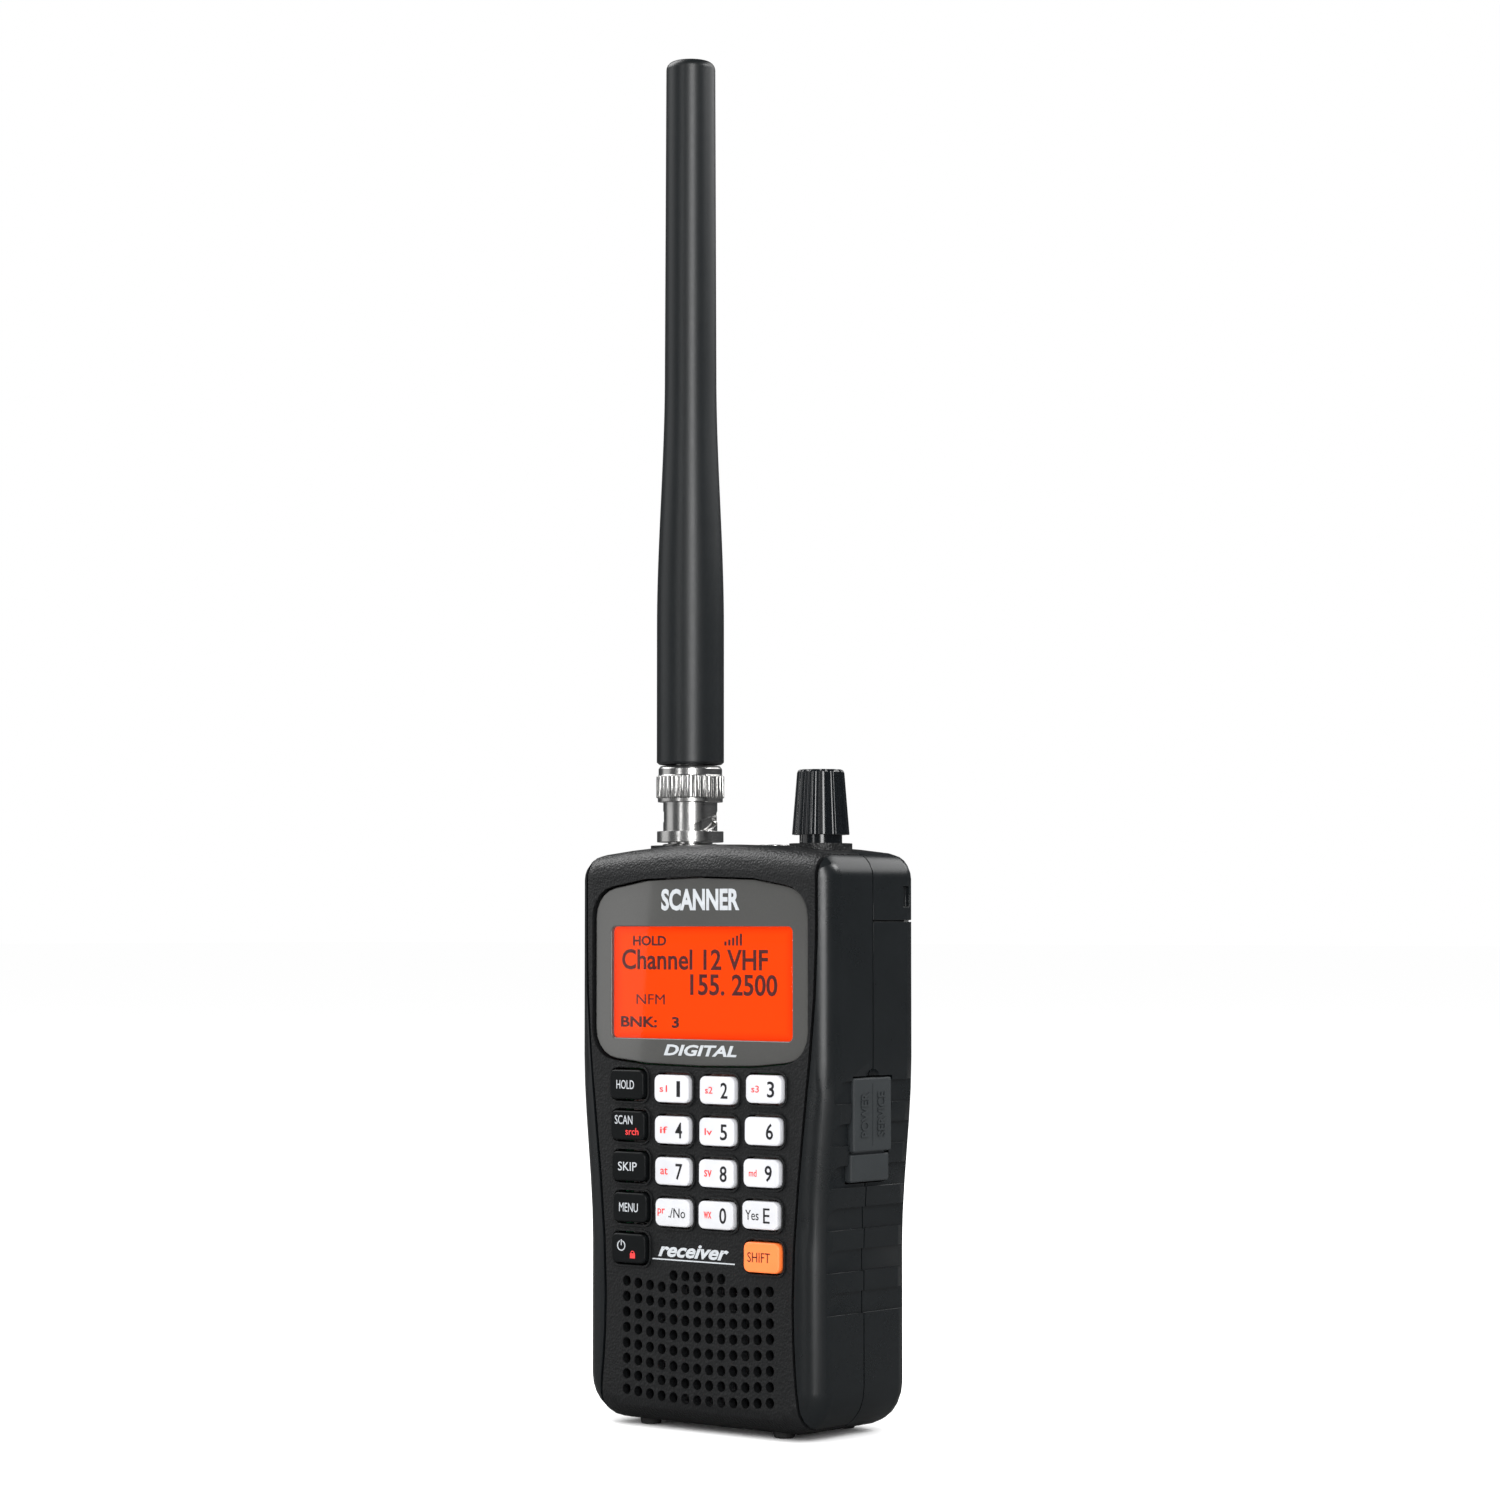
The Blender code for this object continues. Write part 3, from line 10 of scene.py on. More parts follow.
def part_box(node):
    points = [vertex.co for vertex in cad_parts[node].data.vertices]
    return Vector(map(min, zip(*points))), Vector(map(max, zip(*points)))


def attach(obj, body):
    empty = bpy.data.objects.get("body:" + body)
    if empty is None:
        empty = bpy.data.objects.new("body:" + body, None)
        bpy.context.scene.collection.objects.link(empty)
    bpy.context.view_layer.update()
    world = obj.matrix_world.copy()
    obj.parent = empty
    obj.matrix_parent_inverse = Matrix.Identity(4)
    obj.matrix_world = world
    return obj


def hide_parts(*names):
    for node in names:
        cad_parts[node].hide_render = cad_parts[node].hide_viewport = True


bl_info = {
    "name": "Handheld Radio Scanner",
    "version": (1, 0, 0),
    "blender": (4, 5, 0),
    "location": "View3D > Sidebar > Scanner",
    "description": "Builds the finished pieces of a handheld radio scanner",
    "category": "Object",
}

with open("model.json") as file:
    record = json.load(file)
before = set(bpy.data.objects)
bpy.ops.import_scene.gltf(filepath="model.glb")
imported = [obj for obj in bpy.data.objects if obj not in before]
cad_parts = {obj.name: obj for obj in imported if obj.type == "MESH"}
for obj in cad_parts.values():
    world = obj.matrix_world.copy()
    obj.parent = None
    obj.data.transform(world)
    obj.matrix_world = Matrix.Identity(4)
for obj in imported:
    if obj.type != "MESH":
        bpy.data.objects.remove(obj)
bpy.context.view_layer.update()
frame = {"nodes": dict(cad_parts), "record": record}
NODES = frame["nodes"]
PANEL_LOW, PANEL_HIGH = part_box("front_panel")
LENS_LOW, LENS_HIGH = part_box("display_lens")
KNOB_LOW, KNOB_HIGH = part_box("control_knob")
NUT_LOW, NUT_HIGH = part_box("coupling_nut")
SLEEVE_LOW, SLEEVE_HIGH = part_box("antenna_sleeve")
FLAP_LOW, FLAP_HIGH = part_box("jack_cover_flap")
ANCHOR_LOW, ANCHOR_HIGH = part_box("jack_cover_anchor")
MM = 0.001
PANEL_FACE = PANEL_LOW.y
LENS_FACE = LENS_LOW.y
REAR_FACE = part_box("battery_door")[1].y
PANEL_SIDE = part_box("battery_door")[1].x
TINY = 1e-6

# The camera: azimuth and pitch in degrees, distance and height in metres, lens in millimetres, and a
# last small turn in radians.
CAMERA_AZIMUTH = 39.3
CAMERA_DISTANCE = 0.758
CAMERA_HEIGHT = 0.0990
CAMERA_PITCH = 2.63
CAMERA_LENS = 91.2
CAMERA_AIM = 0.00066

# Each light: its place in metres, its width and height, and its power in watts.
LIGHTS = {
    "left_card": ((-1.119, -0.681, 0.35), (0.88, 1.6), 3.4),
    "corner_card": ((0.93, -0.90, 0.42), (0.36, 1.5), 17.0),
    "side_card": ((0.75, 0.45, 0.75), (0.3, 0.3), 3.5),
    "back_card": ((0.35, 0.9, 0.75), (1.0, 0.7), 5.0),
    "front_strip": ((-0.03, -1.5, 0.5), (0.2, 1.4), 3.2),
    "top_card": ((-0.7, -0.1, 0.9), (0.7, 0.7), 8.0),
}
WINDOW_MIDDLE = (0.0, LENS_LOW.z + 16.25 * MM)
KEY_NODES = [name for name in sorted(NODES) if name.startswith("key_")]
DARK_KEYS = ("key_hold", "key_scan", "key_lockout", "key_menu", "key_power")


# Sizes and colours


class ScannerSizes(bpy.types.PropertyGroup):
    """Sizes of the finish detail, in metres."""

    shell_edge: bpy.props.FloatProperty(
        name="Shell edge", description="Rounding along the shells' edges", default=0.00034, unit="LENGTH"
    )
    key_corner: bpy.props.FloatProperty(
        name="Key corner", description="Corner radius of a key cap", default=0.00125, unit="LENGTH"
    )
    key_edge: bpy.props.FloatProperty(
        name="Key edge", description="Rounding of a key cap's face", default=0.00042, unit="LENGTH"
    )
    rim_width: bpy.props.FloatProperty(
        name="Key rim", description="Width of the raised rim round a key", default=0.00042, unit="LENGTH"
    )
    rim_height: bpy.props.FloatProperty(
        name="Rim height", description="Height of the rim round a key", default=0.00038, unit="LENGTH"
    )
    grille_hole: bpy.props.FloatProperty(
        name="Grille hole", description="Radius of a speaker hole", default=0.00106, unit="LENGTH"
    )
    window_width: bpy.props.FloatProperty(
        name="Window width", description="Width of the clear window", default=0.0462, unit="LENGTH"
    )
    window_height: bpy.props.FloatProperty(
        name="Window height", description="Height of the clear window", default=0.0221, unit="LENGTH"
    )
    print_height: bpy.props.FloatProperty(
        name="Print height", description="Thickness of printed ink", default=0.00003, unit="LENGTH"
    )


def colour_property(name, description, default):
    return bpy.props.FloatVectorProperty(
        name=name, description=description, subtype="COLOR", size=4, min=0, max=1, default=(*default, 1.0)
    )


class ScannerColours(bpy.types.PropertyGroup):
    """Base colours of the finishes."""

    panel: colour_property("Panel", "Textured front panel", (0.0045, 0.005, 0.0055))
    case: colour_property("Case", "Satin side and rear shells", (0.0042, 0.0055, 0.0063))
    border: colour_property("Lens border", "Printed border behind the lens", (0.055, 0.055, 0.053))
    screen: colour_property("Screen", "Lit display", (1.0, 0.062, 0.004))
    screen_ink: colour_property("Screen ink", "Dark display segments", (0.055, 0.002, 0.001))
    pale_key: colour_property("Pale key", "Number keys", (0.47, 0.475, 0.495))
    dark_key: colour_property("Dark key", "Function keys", (0.0035, 0.0042, 0.0045))
    orange_key: colour_property("Orange key", "Shift key", (1.0, 0.17, 0.035))
    ink: colour_property("Ink", "Black legends", (0.01, 0.01, 0.012))
    red_ink: colour_property("Red ink", "Second legends", (0.66, 0.03, 0.03))
    pale_ink: colour_property("Pale ink", "Legends on dark parts", (0.40, 0.42, 0.44))
    nickel: colour_property("Nickel", "Plated connector", (0.60, 0.595, 0.585))
    sleeve: colour_property("Sleeve", "Antenna rubber", (0.0042, 0.0058, 0.0068))
    knob: colour_property("Knob", "Gloss knob", (0.003, 0.004, 0.005))
    cover: colour_property("Cover", "Rubber jack cover", (0.014, 0.0175, 0.0195))
    foot: colour_property("Foot", "Rubber feet", (0.01, 0.01, 0.01))
    floor: colour_property("Floor", "Floor", (0.99, 0.99, 0.99))


# Shader wiring


class Wire:
    """A shader socket. Arithmetic on it adds Math nodes to its tree."""

    def __init__(self, tree, socket=None):
        self.tree = tree
        self.socket = socket

    def add(self, kind, settings=None, inputs=None, output=0):
        """A new node: its settings are set first, then its sockets' values or links."""
        node = self.tree.nodes.new(kind)
        for name, value in (settings or {}).items():
            setattr(node, name, value)
        for key, value in (inputs or {}).items():
            if isinstance(value, Wire):
                self.tree.links.new(value.socket, node.inputs[key])
            else:
                node.inputs[key].default_value = value
        return Wire(self.tree, node.outputs[output])

    def math(self, operation, *values):
        return self.add("ShaderNodeMath", {"operation": operation}, dict(enumerate(values)))

    def __add__(self, other):
        return self.math("ADD", self, other)

    def __mul__(self, other):
        return self.math("MULTIPLY", self, other)

    def __sub__(self, other):
        return self.math("SUBTRACT", self, other)

    def __rsub__(self, other):
        return self.math("SUBTRACT", other, self)

    __radd__ = __add__
    __rmul__ = __mul__

    def part(self, axis):
        """One axis of a vector."""
        return self.add("ShaderNodeSeparateXYZ", inputs={0: self}, output=axis)

    def noise(self, scale, detail=2.0, roughness=0.5):
        values = {"Vector": self, "Scale": scale, "Detail": detail, "Roughness": roughness}
        return self.add("ShaderNodeTexNoise", inputs=values)

    def cells(self, scale):
        return self.add("ShaderNodeTexVoronoi", inputs={"Vector": self, "Scale": scale})

    def between(self, low, high):
        """Runs from 0 to 1 as this value goes from low to high."""
        values = {"Value": self, "From Min": low, "From Max": high}
        return self.add("ShaderNodeMapRange", {"clamp": True}, values)

    def blend(self, first, second):
        """A colour that goes from first to second as this value goes from 0 to 1."""
        return self.add(
            "ShaderNodeMix", {"data_type": "RGBA"}, {0: self, 6: first, 7: second}, output=2
        )

    def bump(self, strength, distance):
        values = {"Strength": strength, "Distance": distance, "Height": self}
        return self.add("ShaderNodeBump", inputs=values)


class Finish:
    """A new material with a Principled shader, and the coordinates that its patterns read."""

    def __init__(self, name, colour, roughness, **values):
        self.material = bpy.data.materials.new(name)
        self.material.use_nodes = True
        tree = self.material.node_tree
        self.tree = tree
        self.shader = tree.nodes["Principled BSDF"]
        self.shader.inputs["Base Color"].default_value = tuple(colour)
        self.shader.inputs["Roughness"].default_value = roughness
        for key, value in values.items():
            self.shader.inputs[key.replace("_", " ").title()].default_value = value
        self.place = Wire(tree).add("ShaderNodeTexCoord", output="Object")

    def set(self, key, wire):
        self.tree.links.new(wire.socket, self.shader.inputs[key])


def colours():
    return bpy.context.scene.scanner_colours


def sizes():
    return bpy.context.scene.scanner_sizes


def mixed(colour, factor):
    """The colour made lighter or darker."""
    return (*[min(c * factor, 1.0) for c in colour[:3]], 1.0)


def moulded(name, colour, roughness, grain, strength, distance, specular=0.5, **values):
    """Moulded plastic or rubber: fine grain in its relief, and a slow change of colour and gloss."""
    finish = Finish(name, colour, roughness, **values)
    finish.shader.inputs["Specular IOR Level"].default_value = specular
    slow = finish.place.noise(90.0, 3.0)
    fine = finish.place.noise(grain, 3.0, 0.6)
    finish.set("Base Color", slow.blend(mixed(colour, 0.82), mixed(colour, 1.25)))
    finish.set("Roughness", slow * 0.08 + fine * 0.06 + (roughness - 0.07))
    finish.set("Normal", fine.bump(strength, distance))
    return finish


def make_panel_finish():
    """Spark-textured plastic: small raised pits that each catch the light."""
    colour = colours().panel
    finish = Finish("panel_texture", colour, 0.45)
    pits = finish.place.cells(2100.0)
    grain = finish.place.noise(1300.0, 4.0, 0.65)
    height = pits * 0.7 + grain * 0.9
    slow = finish.place.noise(60.0)
    finish.set("Base Color", slow.blend(mixed(colour, 0.85), mixed(colour, 1.2)))
    finish.set("Roughness", grain * 0.25 + 0.3)
    finish.set("Normal", height.bump(0.75, 0.00018))
    return finish.material


def make_sleeve_finish():
    """Moulded rubber with faint drawn lines round the sleeve."""
    colour = colours().sleeve
    finish = Finish("sleeve_rubber", colour, 0.38)
    rings = finish.place.add("ShaderNodeMapping", inputs={"Vector": finish.place, "Scale": (30, 30, 900)})
    lines = rings.noise(1.0, 2.0)
    fine = finish.place.noise(2500.0, 2.0)
    slow = finish.place.noise(40.0)
    finish.set("Base Color", slow.blend(mixed(colour, 0.85), mixed(colour, 1.2)))
    finish.set("Roughness", lines * 0.06 + fine * 0.08 + 0.31)
    finish.set("Normal", (lines * 0.4 + fine).bump(0.16, 0.00004))
    return finish.material


def make_nickel_finish():
    """Polished plate with turning lines and a little tarnish."""
    colour = colours().nickel
    finish = Finish("nickel_plate", colour, 0.14, metallic=1.0)
    rings = finish.place.add("ShaderNodeMapping", inputs={"Vector": finish.place, "Scale": (60, 60, 5000)})
    lines = rings.noise(1.0, 2.0)
    tarnish = finish.place.noise(420.0, 4.0)
    finish.set("Base Color", tarnish.between(0.45, 0.75).blend(colour, mixed(colour, 0.85)))
    finish.set("Roughness", tarnish * 0.1 + 0.2)
    finish.set("Normal", lines.bump(0.015, 0.00001))
    return finish.material


def make_screen_finish():
    """A lit display: brightest in the middle, with painted shade that makes it deeper red towards its edges.
    """
    colour = colours().screen
    finish = Finish("lit_screen", mixed(colour, 0.6), 0.8, emission_strength=1.0)
    finish.shader.inputs["Specular IOR Level"].default_value = 0.0
    middle_x, middle_z = WINDOW_MIDDLE
    across = finish.place.part(0) - middle_x
    up = finish.place.part(2) - middle_z
    # Painted shade: near the window's edges the colour and the glow blend to a deeper red, standing in for
    # the shade round the window.
    edge_x = across.math("ABSOLUTE", across).between(0.0208, 0.0233)
    edge_z = up.math("ABSOLUTE", up).between(0.0094, 0.0113)
    painted_edge_shade = edge_x.math("MAXIMUM", edge_x, edge_z)
    grid = finish.place.noise(3000.0)
    shade = painted_edge_shade * 0.7 + grid * 0.04
    edge_shade_red = (0.72, 0.022, 0.002, 1.0)
    glow = shade.blend(colour, edge_shade_red)
    finish.set("Base Color", shade.blend(mixed(colour, 0.1), mixed(edge_shade_red, 0.1)))
    finish.set("Emission Color", glow)
    return finish.material


def make_window_finish():
    """Clear window: see-through, with the surface's own reflection."""
    material = bpy.data.materials.new("clear_window")
    material.use_nodes = True
    tree = material.node_tree
    tree.nodes.remove(tree.nodes["Principled BSDF"])
    start = Wire(tree)
    inside = start.add("ShaderNodeNewGeometry", output="Backfacing")
    gloss = start.add("ShaderNodeFresnel", inputs={"IOR": 1.5}) * (1.0 - inside) * 0.5
    clear = start.add("ShaderNodeBsdfTransparent", inputs={"Color": (1, 1, 1, 1)})
    mirror = start.add("ShaderNodeBsdfGlossy", inputs={"Color": (1, 1, 1, 1), "Roughness": 0.015})
    both = start.add("ShaderNodeMixShader", inputs={0: gloss, 1: clear, 2: mirror})
    tree.links.new(both.socket, tree.nodes["Material Output"].inputs["Surface"])
    return material


def make_border_finish():
    """Printed grey under a polished surface."""
    colour = colours().border
    finish = Finish("lens_border", colour, 0.05, coat_weight=0.6, coat_roughness=0.02)
    flecks = finish.place.noise(1800.0, 2.0)
    slow = finish.place.noise(70.0)
    finish.set("Base Color", (flecks * 0.5 + slow * 0.5).blend(mixed(colour, 0.88), mixed(colour, 1.12)))
    finish.set("Roughness", slow * 0.03 + 0.035)
    return finish.material


def ink(name, colour, roughness=0.4):
    """Printed ink, a little uneven in its cover."""
    finish = Finish(name, colour, roughness)
    uneven = finish.place.noise(900.0, 2.0)
    finish.set("Base Color", uneven.blend(mixed(colour, 0.85), mixed(colour, 1.12)))
    finish.set("Roughness", uneven * 0.12 + (roughness - 0.06))
    return finish.material


FINISH_CACHE = {}


def finish_of(name):
    """The material of one finish, made the first time it is asked for."""
    if name in FINISH_CACHE:
        return FINISH_CACHE[name]
    c = colours()
    makers = {
        "panel": make_panel_finish,
        "case": lambda: moulded("case_satin", c.case, 0.29, 1300.0, 0.16, 0.00005).material,
        "border": make_border_finish,
        "screen": make_screen_finish,
        "screen_ink": lambda: ink("screen_ink", c.screen_ink, 0.85),
        "window": make_window_finish,
        "pale_key": lambda: moulded("pale_key", c.pale_key, 0.34, 1600.0, 0.08, 0.00004).material,
        "dark_key": lambda: moulded("dark_key", c.dark_key, 0.4, 1600.0, 0.16, 0.00005, 0.16).material,
        "orange_key": lambda: moulded("orange_key", c.orange_key, 0.34, 1600.0, 0.08, 0.00004).material,
        "ink": lambda: ink("black_ink", c.ink),
        "red_ink": lambda: ink("red_ink", c.red_ink),
        "pale_ink": lambda: ink("pale_ink", c.pale_ink),
        "nickel": make_nickel_finish,
        "sleeve": make_sleeve_finish,
        "knob": lambda: moulded("knob_gloss", c.knob, 0.17, 900.0, 0.01, 0.00001, coat_weight=0.3).material,
        "cover": lambda: moulded("cover_rubber", c.cover, 0.62, 1500.0, 0.25, 0.00006).material,
        "foot": lambda: moulded("foot_rubber", c.foot, 0.75, 1500.0, 0.3, 0.00006).material,
        # Near-black: painted shade in the liners behind the grooves and the rear seam, and the speaker
        # cone's own black.
        "void": lambda: moulded("dark_void", (0.002, 0.002, 0.002, 1.0), 0.9, 800.0, 0.1, 0.00005).material,
        "board": lambda: moulded("board_lacquer", (0.02, 0.15, 0.06, 1.0), 0.4, 700.0, 0.1, 0.0001).material,
        "inner": lambda: moulded("inner_plastic", (0.5, 0.5, 0.48, 1.0), 0.5, 900.0, 0.1, 0.00006).material,
        "steel": lambda: moulded(
            "plated_steel", (0.6, 0.6, 0.6, 1.0), 0.3, 900.0, 0.1, 0.00004, metallic=1.0
        ).material,
        "copper": lambda: moulded(
            "copper_wire", (0.8, 0.35, 0.15, 1.0), 0.3, 900.0, 0.1, 0.00004, metallic=1.0
        ).material,
        "jacket": lambda: moulded("cell_jacket", (0.05, 0.2, 0.5, 1.0), 0.35, 600.0, 0.05, 0.00004).material,
    }
    FINISH_CACHE[name] = makers[name]()
    return FINISH_CACHE[name]


# Modelling helpers


def activate(obj):
    """Makes this the only selected object, and the active one."""
    bpy.ops.object.select_all(action="DESELECT")
    obj.select_set(True)
    bpy.context.view_layer.objects.active = obj


def apply_all(obj):
    activate(obj)
    for modifier in list(obj.modifiers):
        bpy.ops.object.modifier_apply(modifier=modifier.name)


def settle(obj):
    """Puts the object's place, turn and size into its mesh."""
    activate(obj)
    bpy.ops.object.transform_apply(location=True, rotation=True, scale=True)


def smooth(obj, angle=35.0):
    """Smooth shading that keeps broad faces flat."""
    activate(obj)
    bpy.ops.object.shade_smooth_by_angle(angle=math.radians(angle))
    modifier = obj.modifiers.new("normals", "WEIGHTED_NORMAL")
    modifier.keep_sharp = True
    modifier.weight = 100
    apply_all(obj)


def dress(obj, finish, body=None):
    obj.data.materials.clear()
    obj.data.materials.append(finish_of(finish))
    if body:
        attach(obj, body)
    return obj


def body_of(node):
    for body, members in frame["record"]["behaviour"]["bodies"].items():
        if node in members:
            return body
    raise ValueError(node)


def drop(obj):
    bpy.data.objects.remove(obj, do_unlink=True)


def cut(obj, cutter, operation="DIFFERENCE"):
    """Cuts one mesh with another, and removes the cutter."""
    modifier = obj.modifiers.new("cut", "BOOLEAN")
    modifier.operation = operation
    modifier.object = cutter
    modifier.solver = "EXACT"
    apply_all(obj)
    drop(cutter)


def bevel_long_edges(obj, width, leave=None, shortest=0.6 * MM):
    """Rounds only the sharp edges that have room for it, and none that leave() keeps as they are."""
    activate(obj)
    bpy.ops.object.mode_set(mode="EDIT")
    bpy.ops.mesh.select_mode(type="EDGE")
    bpy.ops.mesh.select_all(action="DESELECT")
    bpy.ops.mesh.edges_select_sharp(sharpness=math.radians(40))
    bpy.ops.object.mode_set(mode="OBJECT")
    mesh = obj.data
    crowded = set()
    for edge in mesh.edges:
        first, last = (mesh.vertices[i].co for i in edge.vertices)
        if (first - last).length < shortest:
            crowded.update(edge.vertices)
    weights = mesh.attributes.new("bevel_weight_edge", "FLOAT", "EDGE")
    for edge in mesh.edges:
        middle = (mesh.vertices[edge.vertices[0]].co + mesh.vertices[edge.vertices[1]].co) / 2
        free = not crowded & set(edge.vertices)
        wanted = edge.select and free and not (leave and leave(middle))
        weights.data[edge.index].value = 1.0 if wanted else 0.0
    modifier = obj.modifiers.new("edge", "BEVEL")
    modifier.width = width
    modifier.segments = 2
    modifier.limit_method = "WEIGHT"
    apply_all(obj)


def bevel(obj, width, segments=2, angle=35.0, clamp=True):
    modifier = obj.modifiers.new("edge", "BEVEL")
    modifier.width = width
    modifier.segments = segments
    modifier.limit_method = "ANGLE"
    modifier.angle_limit = math.radians(angle)
    modifier.use_clamp_overlap = clamp
    modifier.harden_normals = False
    apply_all(obj)


def working_copy(node, name):
    """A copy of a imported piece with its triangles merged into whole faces."""
    source = NODES[node]
    copy = source.copy()
    copy.data = source.data.copy()
    copy.name = name
    for key in list(copy.keys()):
        del copy[key]
    bpy.context.scene.collection.objects.link(copy)
    copy.parent = None
    activate(copy)
    bpy.ops.object.mode_set(mode="EDIT")
    bpy.ops.mesh.select_all(action="SELECT")
    bpy.ops.mesh.remove_doubles(threshold=0.000002)
    bpy.ops.mesh.dissolve_limited(angle_limit=math.radians(0.6))
    bpy.ops.object.mode_set(mode="OBJECT")
    return copy


def refine(node, finish, edge, segments=2, cutters=(), angle=35.0, clamp=True, shade=35.0):
    """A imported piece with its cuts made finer, its edges rounded and its shading smooth."""
    obj = working_copy(node, node + "_finished")
    for cutter in cutters:
        cut(obj, cutter)
    bevel(obj, edge, segments, angle, clamp)
    smooth(obj, shade)
    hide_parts(node)
    return dress(obj, finish, body_of(node))


def refine_shell(node, finish, cutters=(), leave=None):
    """A wall of the case: its long edges are rounded, and those round small holes are not."""
    obj = working_copy(node, node + "_finished")
    for cutter in cutters:
        cut(obj, cutter)
    bevel_long_edges(obj, sizes().shell_edge, leave)
    smooth(obj, 30)
    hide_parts(node)
    return dress(obj, finish, body_of(node))


def select_by(obj, kind, test):
    """In edit mode, selects only the elements of one kind that pass a test on their places."""
    bpy.ops.object.mode_set(mode="EDIT")
    bpy.ops.mesh.select_mode(type=kind)
    bpy.ops.mesh.select_all(action="DESELECT")
    bpy.ops.object.mode_set(mode="OBJECT")
    vertices = obj.data.vertices
    elements = {"VERT": vertices, "EDGE": obj.data.edges, "FACE": obj.data.polygons}[kind]
    for element in elements:
        points = [element.co] if kind == "VERT" else [vertices[i].co for i in element.vertices]
        if test(points):
            element.select = True
    bpy.ops.object.mode_set(mode="EDIT")


def add_box(name, low, high):
    low, high = Vector(low), Vector(high)
    bpy.ops.object.select_all(action="DESELECT")
    bpy.ops.mesh.primitive_cube_add(size=1.0, location=(low + high) / 2)
    obj = bpy.context.object
    obj.name = name
    obj.scale = high - low
    settle(obj)
    return obj


def rounded_plate(name, centre, width, height, front, back, corner, edge, segments=6):
    """A plate facing -Y with rounded corners and a rounded front edge."""
    x, z = centre
    obj = add_box(name, (x - width / 2, front, z - height / 2), (x + width / 2, back, z + height / 2))
    tiny = 1e-7
    select_by(obj, "EDGE", lambda p: abs(p[0].x - p[1].x) < tiny and abs(p[0].z - p[1].z) < tiny)
    bpy.ops.mesh.bevel(offset=corner, segments=segments, affect="EDGES", clamp_overlap=False)
    bpy.ops.object.mode_set(mode="OBJECT")
    if edge:
        select_by(obj, "EDGE", lambda p: all(abs(q.y - front) < tiny for q in p))
        bpy.ops.mesh.bevel(offset=edge, segments=3, affect="EDGES", clamp_overlap=False)
        bpy.ops.object.mode_set(mode="OBJECT")
    return obj


def copied(obj, name, offset=(0, 0, 0)):
    copy = obj.copy()
    copy.data = obj.data.copy()
    copy.name = name
    bpy.context.scene.collection.objects.link(copy)
    copy.location = offset
    settle(copy)
    return copy


def joined(objects, name):
    bpy.ops.object.select_all(action="DESELECT")
    for obj in objects:
        obj.select_set(True)
    bpy.context.view_layer.objects.active = objects[0]
    bpy.ops.object.join()
    objects[0].name = name
    return objects[0]


def turned(name, centre, profile, vertices=64):
    """A solid turned about Z, its profile of (radius, height) given from its lowest face up."""
    bpy.ops.object.select_all(action="DESELECT")
    radius, height = profile[0]
    at = Vector((centre[0], centre[1], height))
    bpy.ops.mesh.primitive_circle_add(vertices=vertices, radius=radius, fill_type="NGON", location=at)
    obj = bpy.context.object
    obj.name = name
    settle(obj)
    bpy.ops.object.mode_set(mode="EDIT")
    bpy.ops.mesh.select_all(action="SELECT")
    for (before, low), (after, high) in zip(profile, profile[1:]):
        bpy.ops.mesh.extrude_region_move(TRANSFORM_OT_translate={"value": (0, 0, high - low)})
        share = after / before
        middle = (centre[0], centre[1], high)
        bpy.ops.transform.resize(value=(share, share, 1.0), center_override=middle)
    bpy.ops.mesh.select_all(action="SELECT")
    bpy.ops.mesh.normals_make_consistent(inside=False)
    bpy.ops.object.mode_set(mode="OBJECT")
    return obj


def lettering(name, words, centre, size, front, finish, body, slant=0.0, weight=0.0):
    """Printed words facing -Y: their own width and height, centred in X and Z on the surface at front."""
    bpy.ops.object.select_all(action="DESELECT")
    bpy.ops.object.text_add()
    obj = bpy.context.object
    obj.name = name
    text = obj.data
    text.body = words
    text.align_x, text.align_y = "CENTER", "CENTER"
    text.extrude = 0.001
    text.shear = slant
    text.offset = weight
    text.resolution_u = 3
    activate(obj)
    bpy.ops.object.convert(target="MESH")
    obj = bpy.context.object
    low = [min(v.co[i] for v in obj.data.vertices) for i in range(3)]
    high = [max(v.co[i] for v in obj.data.vertices) for i in range(3)]
    target = (*size, 2 * sizes().print_height)
    scale = [want / (b - a) for want, a, b in zip(target, low, high)]
    middle = [-(a + b) / 2 for a, b in zip(low, high)]
    obj.data.transform(Matrix.Diagonal((*scale, 1)) @ Matrix.Translation(middle))
    obj.rotation_euler = (math.radians(90), 0, 0)
    obj.location = (centre[0], front, centre[1])
    settle(obj)
    return dress(obj, finish, body)


# Pieces


class SCANNER_OT_shells(bpy.types.Operator):
    """Front panel, side grips, rear shell and battery door, with fine edges and round speaker holes"""

    bl_idname = "scanner.shells"
    bl_label = "Case Shells"

    def execute(self, context):
        size = sizes()
        holes = []
        for x, z in grille_places():
            bpy.ops.object.select_all(action="DESELECT")
            bpy.ops.mesh.primitive_cylinder_add(
                vertices=14,
                radius=size.grille_hole,
                depth=0.008,
                location=(x, PANEL_FACE + 0.001, z),
                rotation=(math.radians(90), 0, 0),
            )
            holes.append(context.object)
        grille = joined(holes, "grille_cutter")
        settle(grille)
        refine_shell("front_panel", "panel", (grille,), among_the_holes)
        refine_shell("side_grip_left", "case")
        scoop = thumb_scoop()
        spare = copied(scoop, "scoop_rear")
        refine_shell("side_grip_right", "case", (scoop,))
        refine_shell("battery_door", "case", (spare,))
        refine_shell("rear_shell", "case")
        return {"FINISHED"}


def among_the_holes(point):
    """True in the parts of the front panel that hold the keys, the speaker holes and the lens."""
    across = abs(point.x)
    if point.y > PANEL_FACE + 3 * MM:
        return False
    if point.z < LENS_LOW.z - 0.5 * MM:
        return across < 22.8 * MM
    return across < (27.9 * MM if point.z > LENS_LOW.z + 6 * MM else 27.3 * MM)


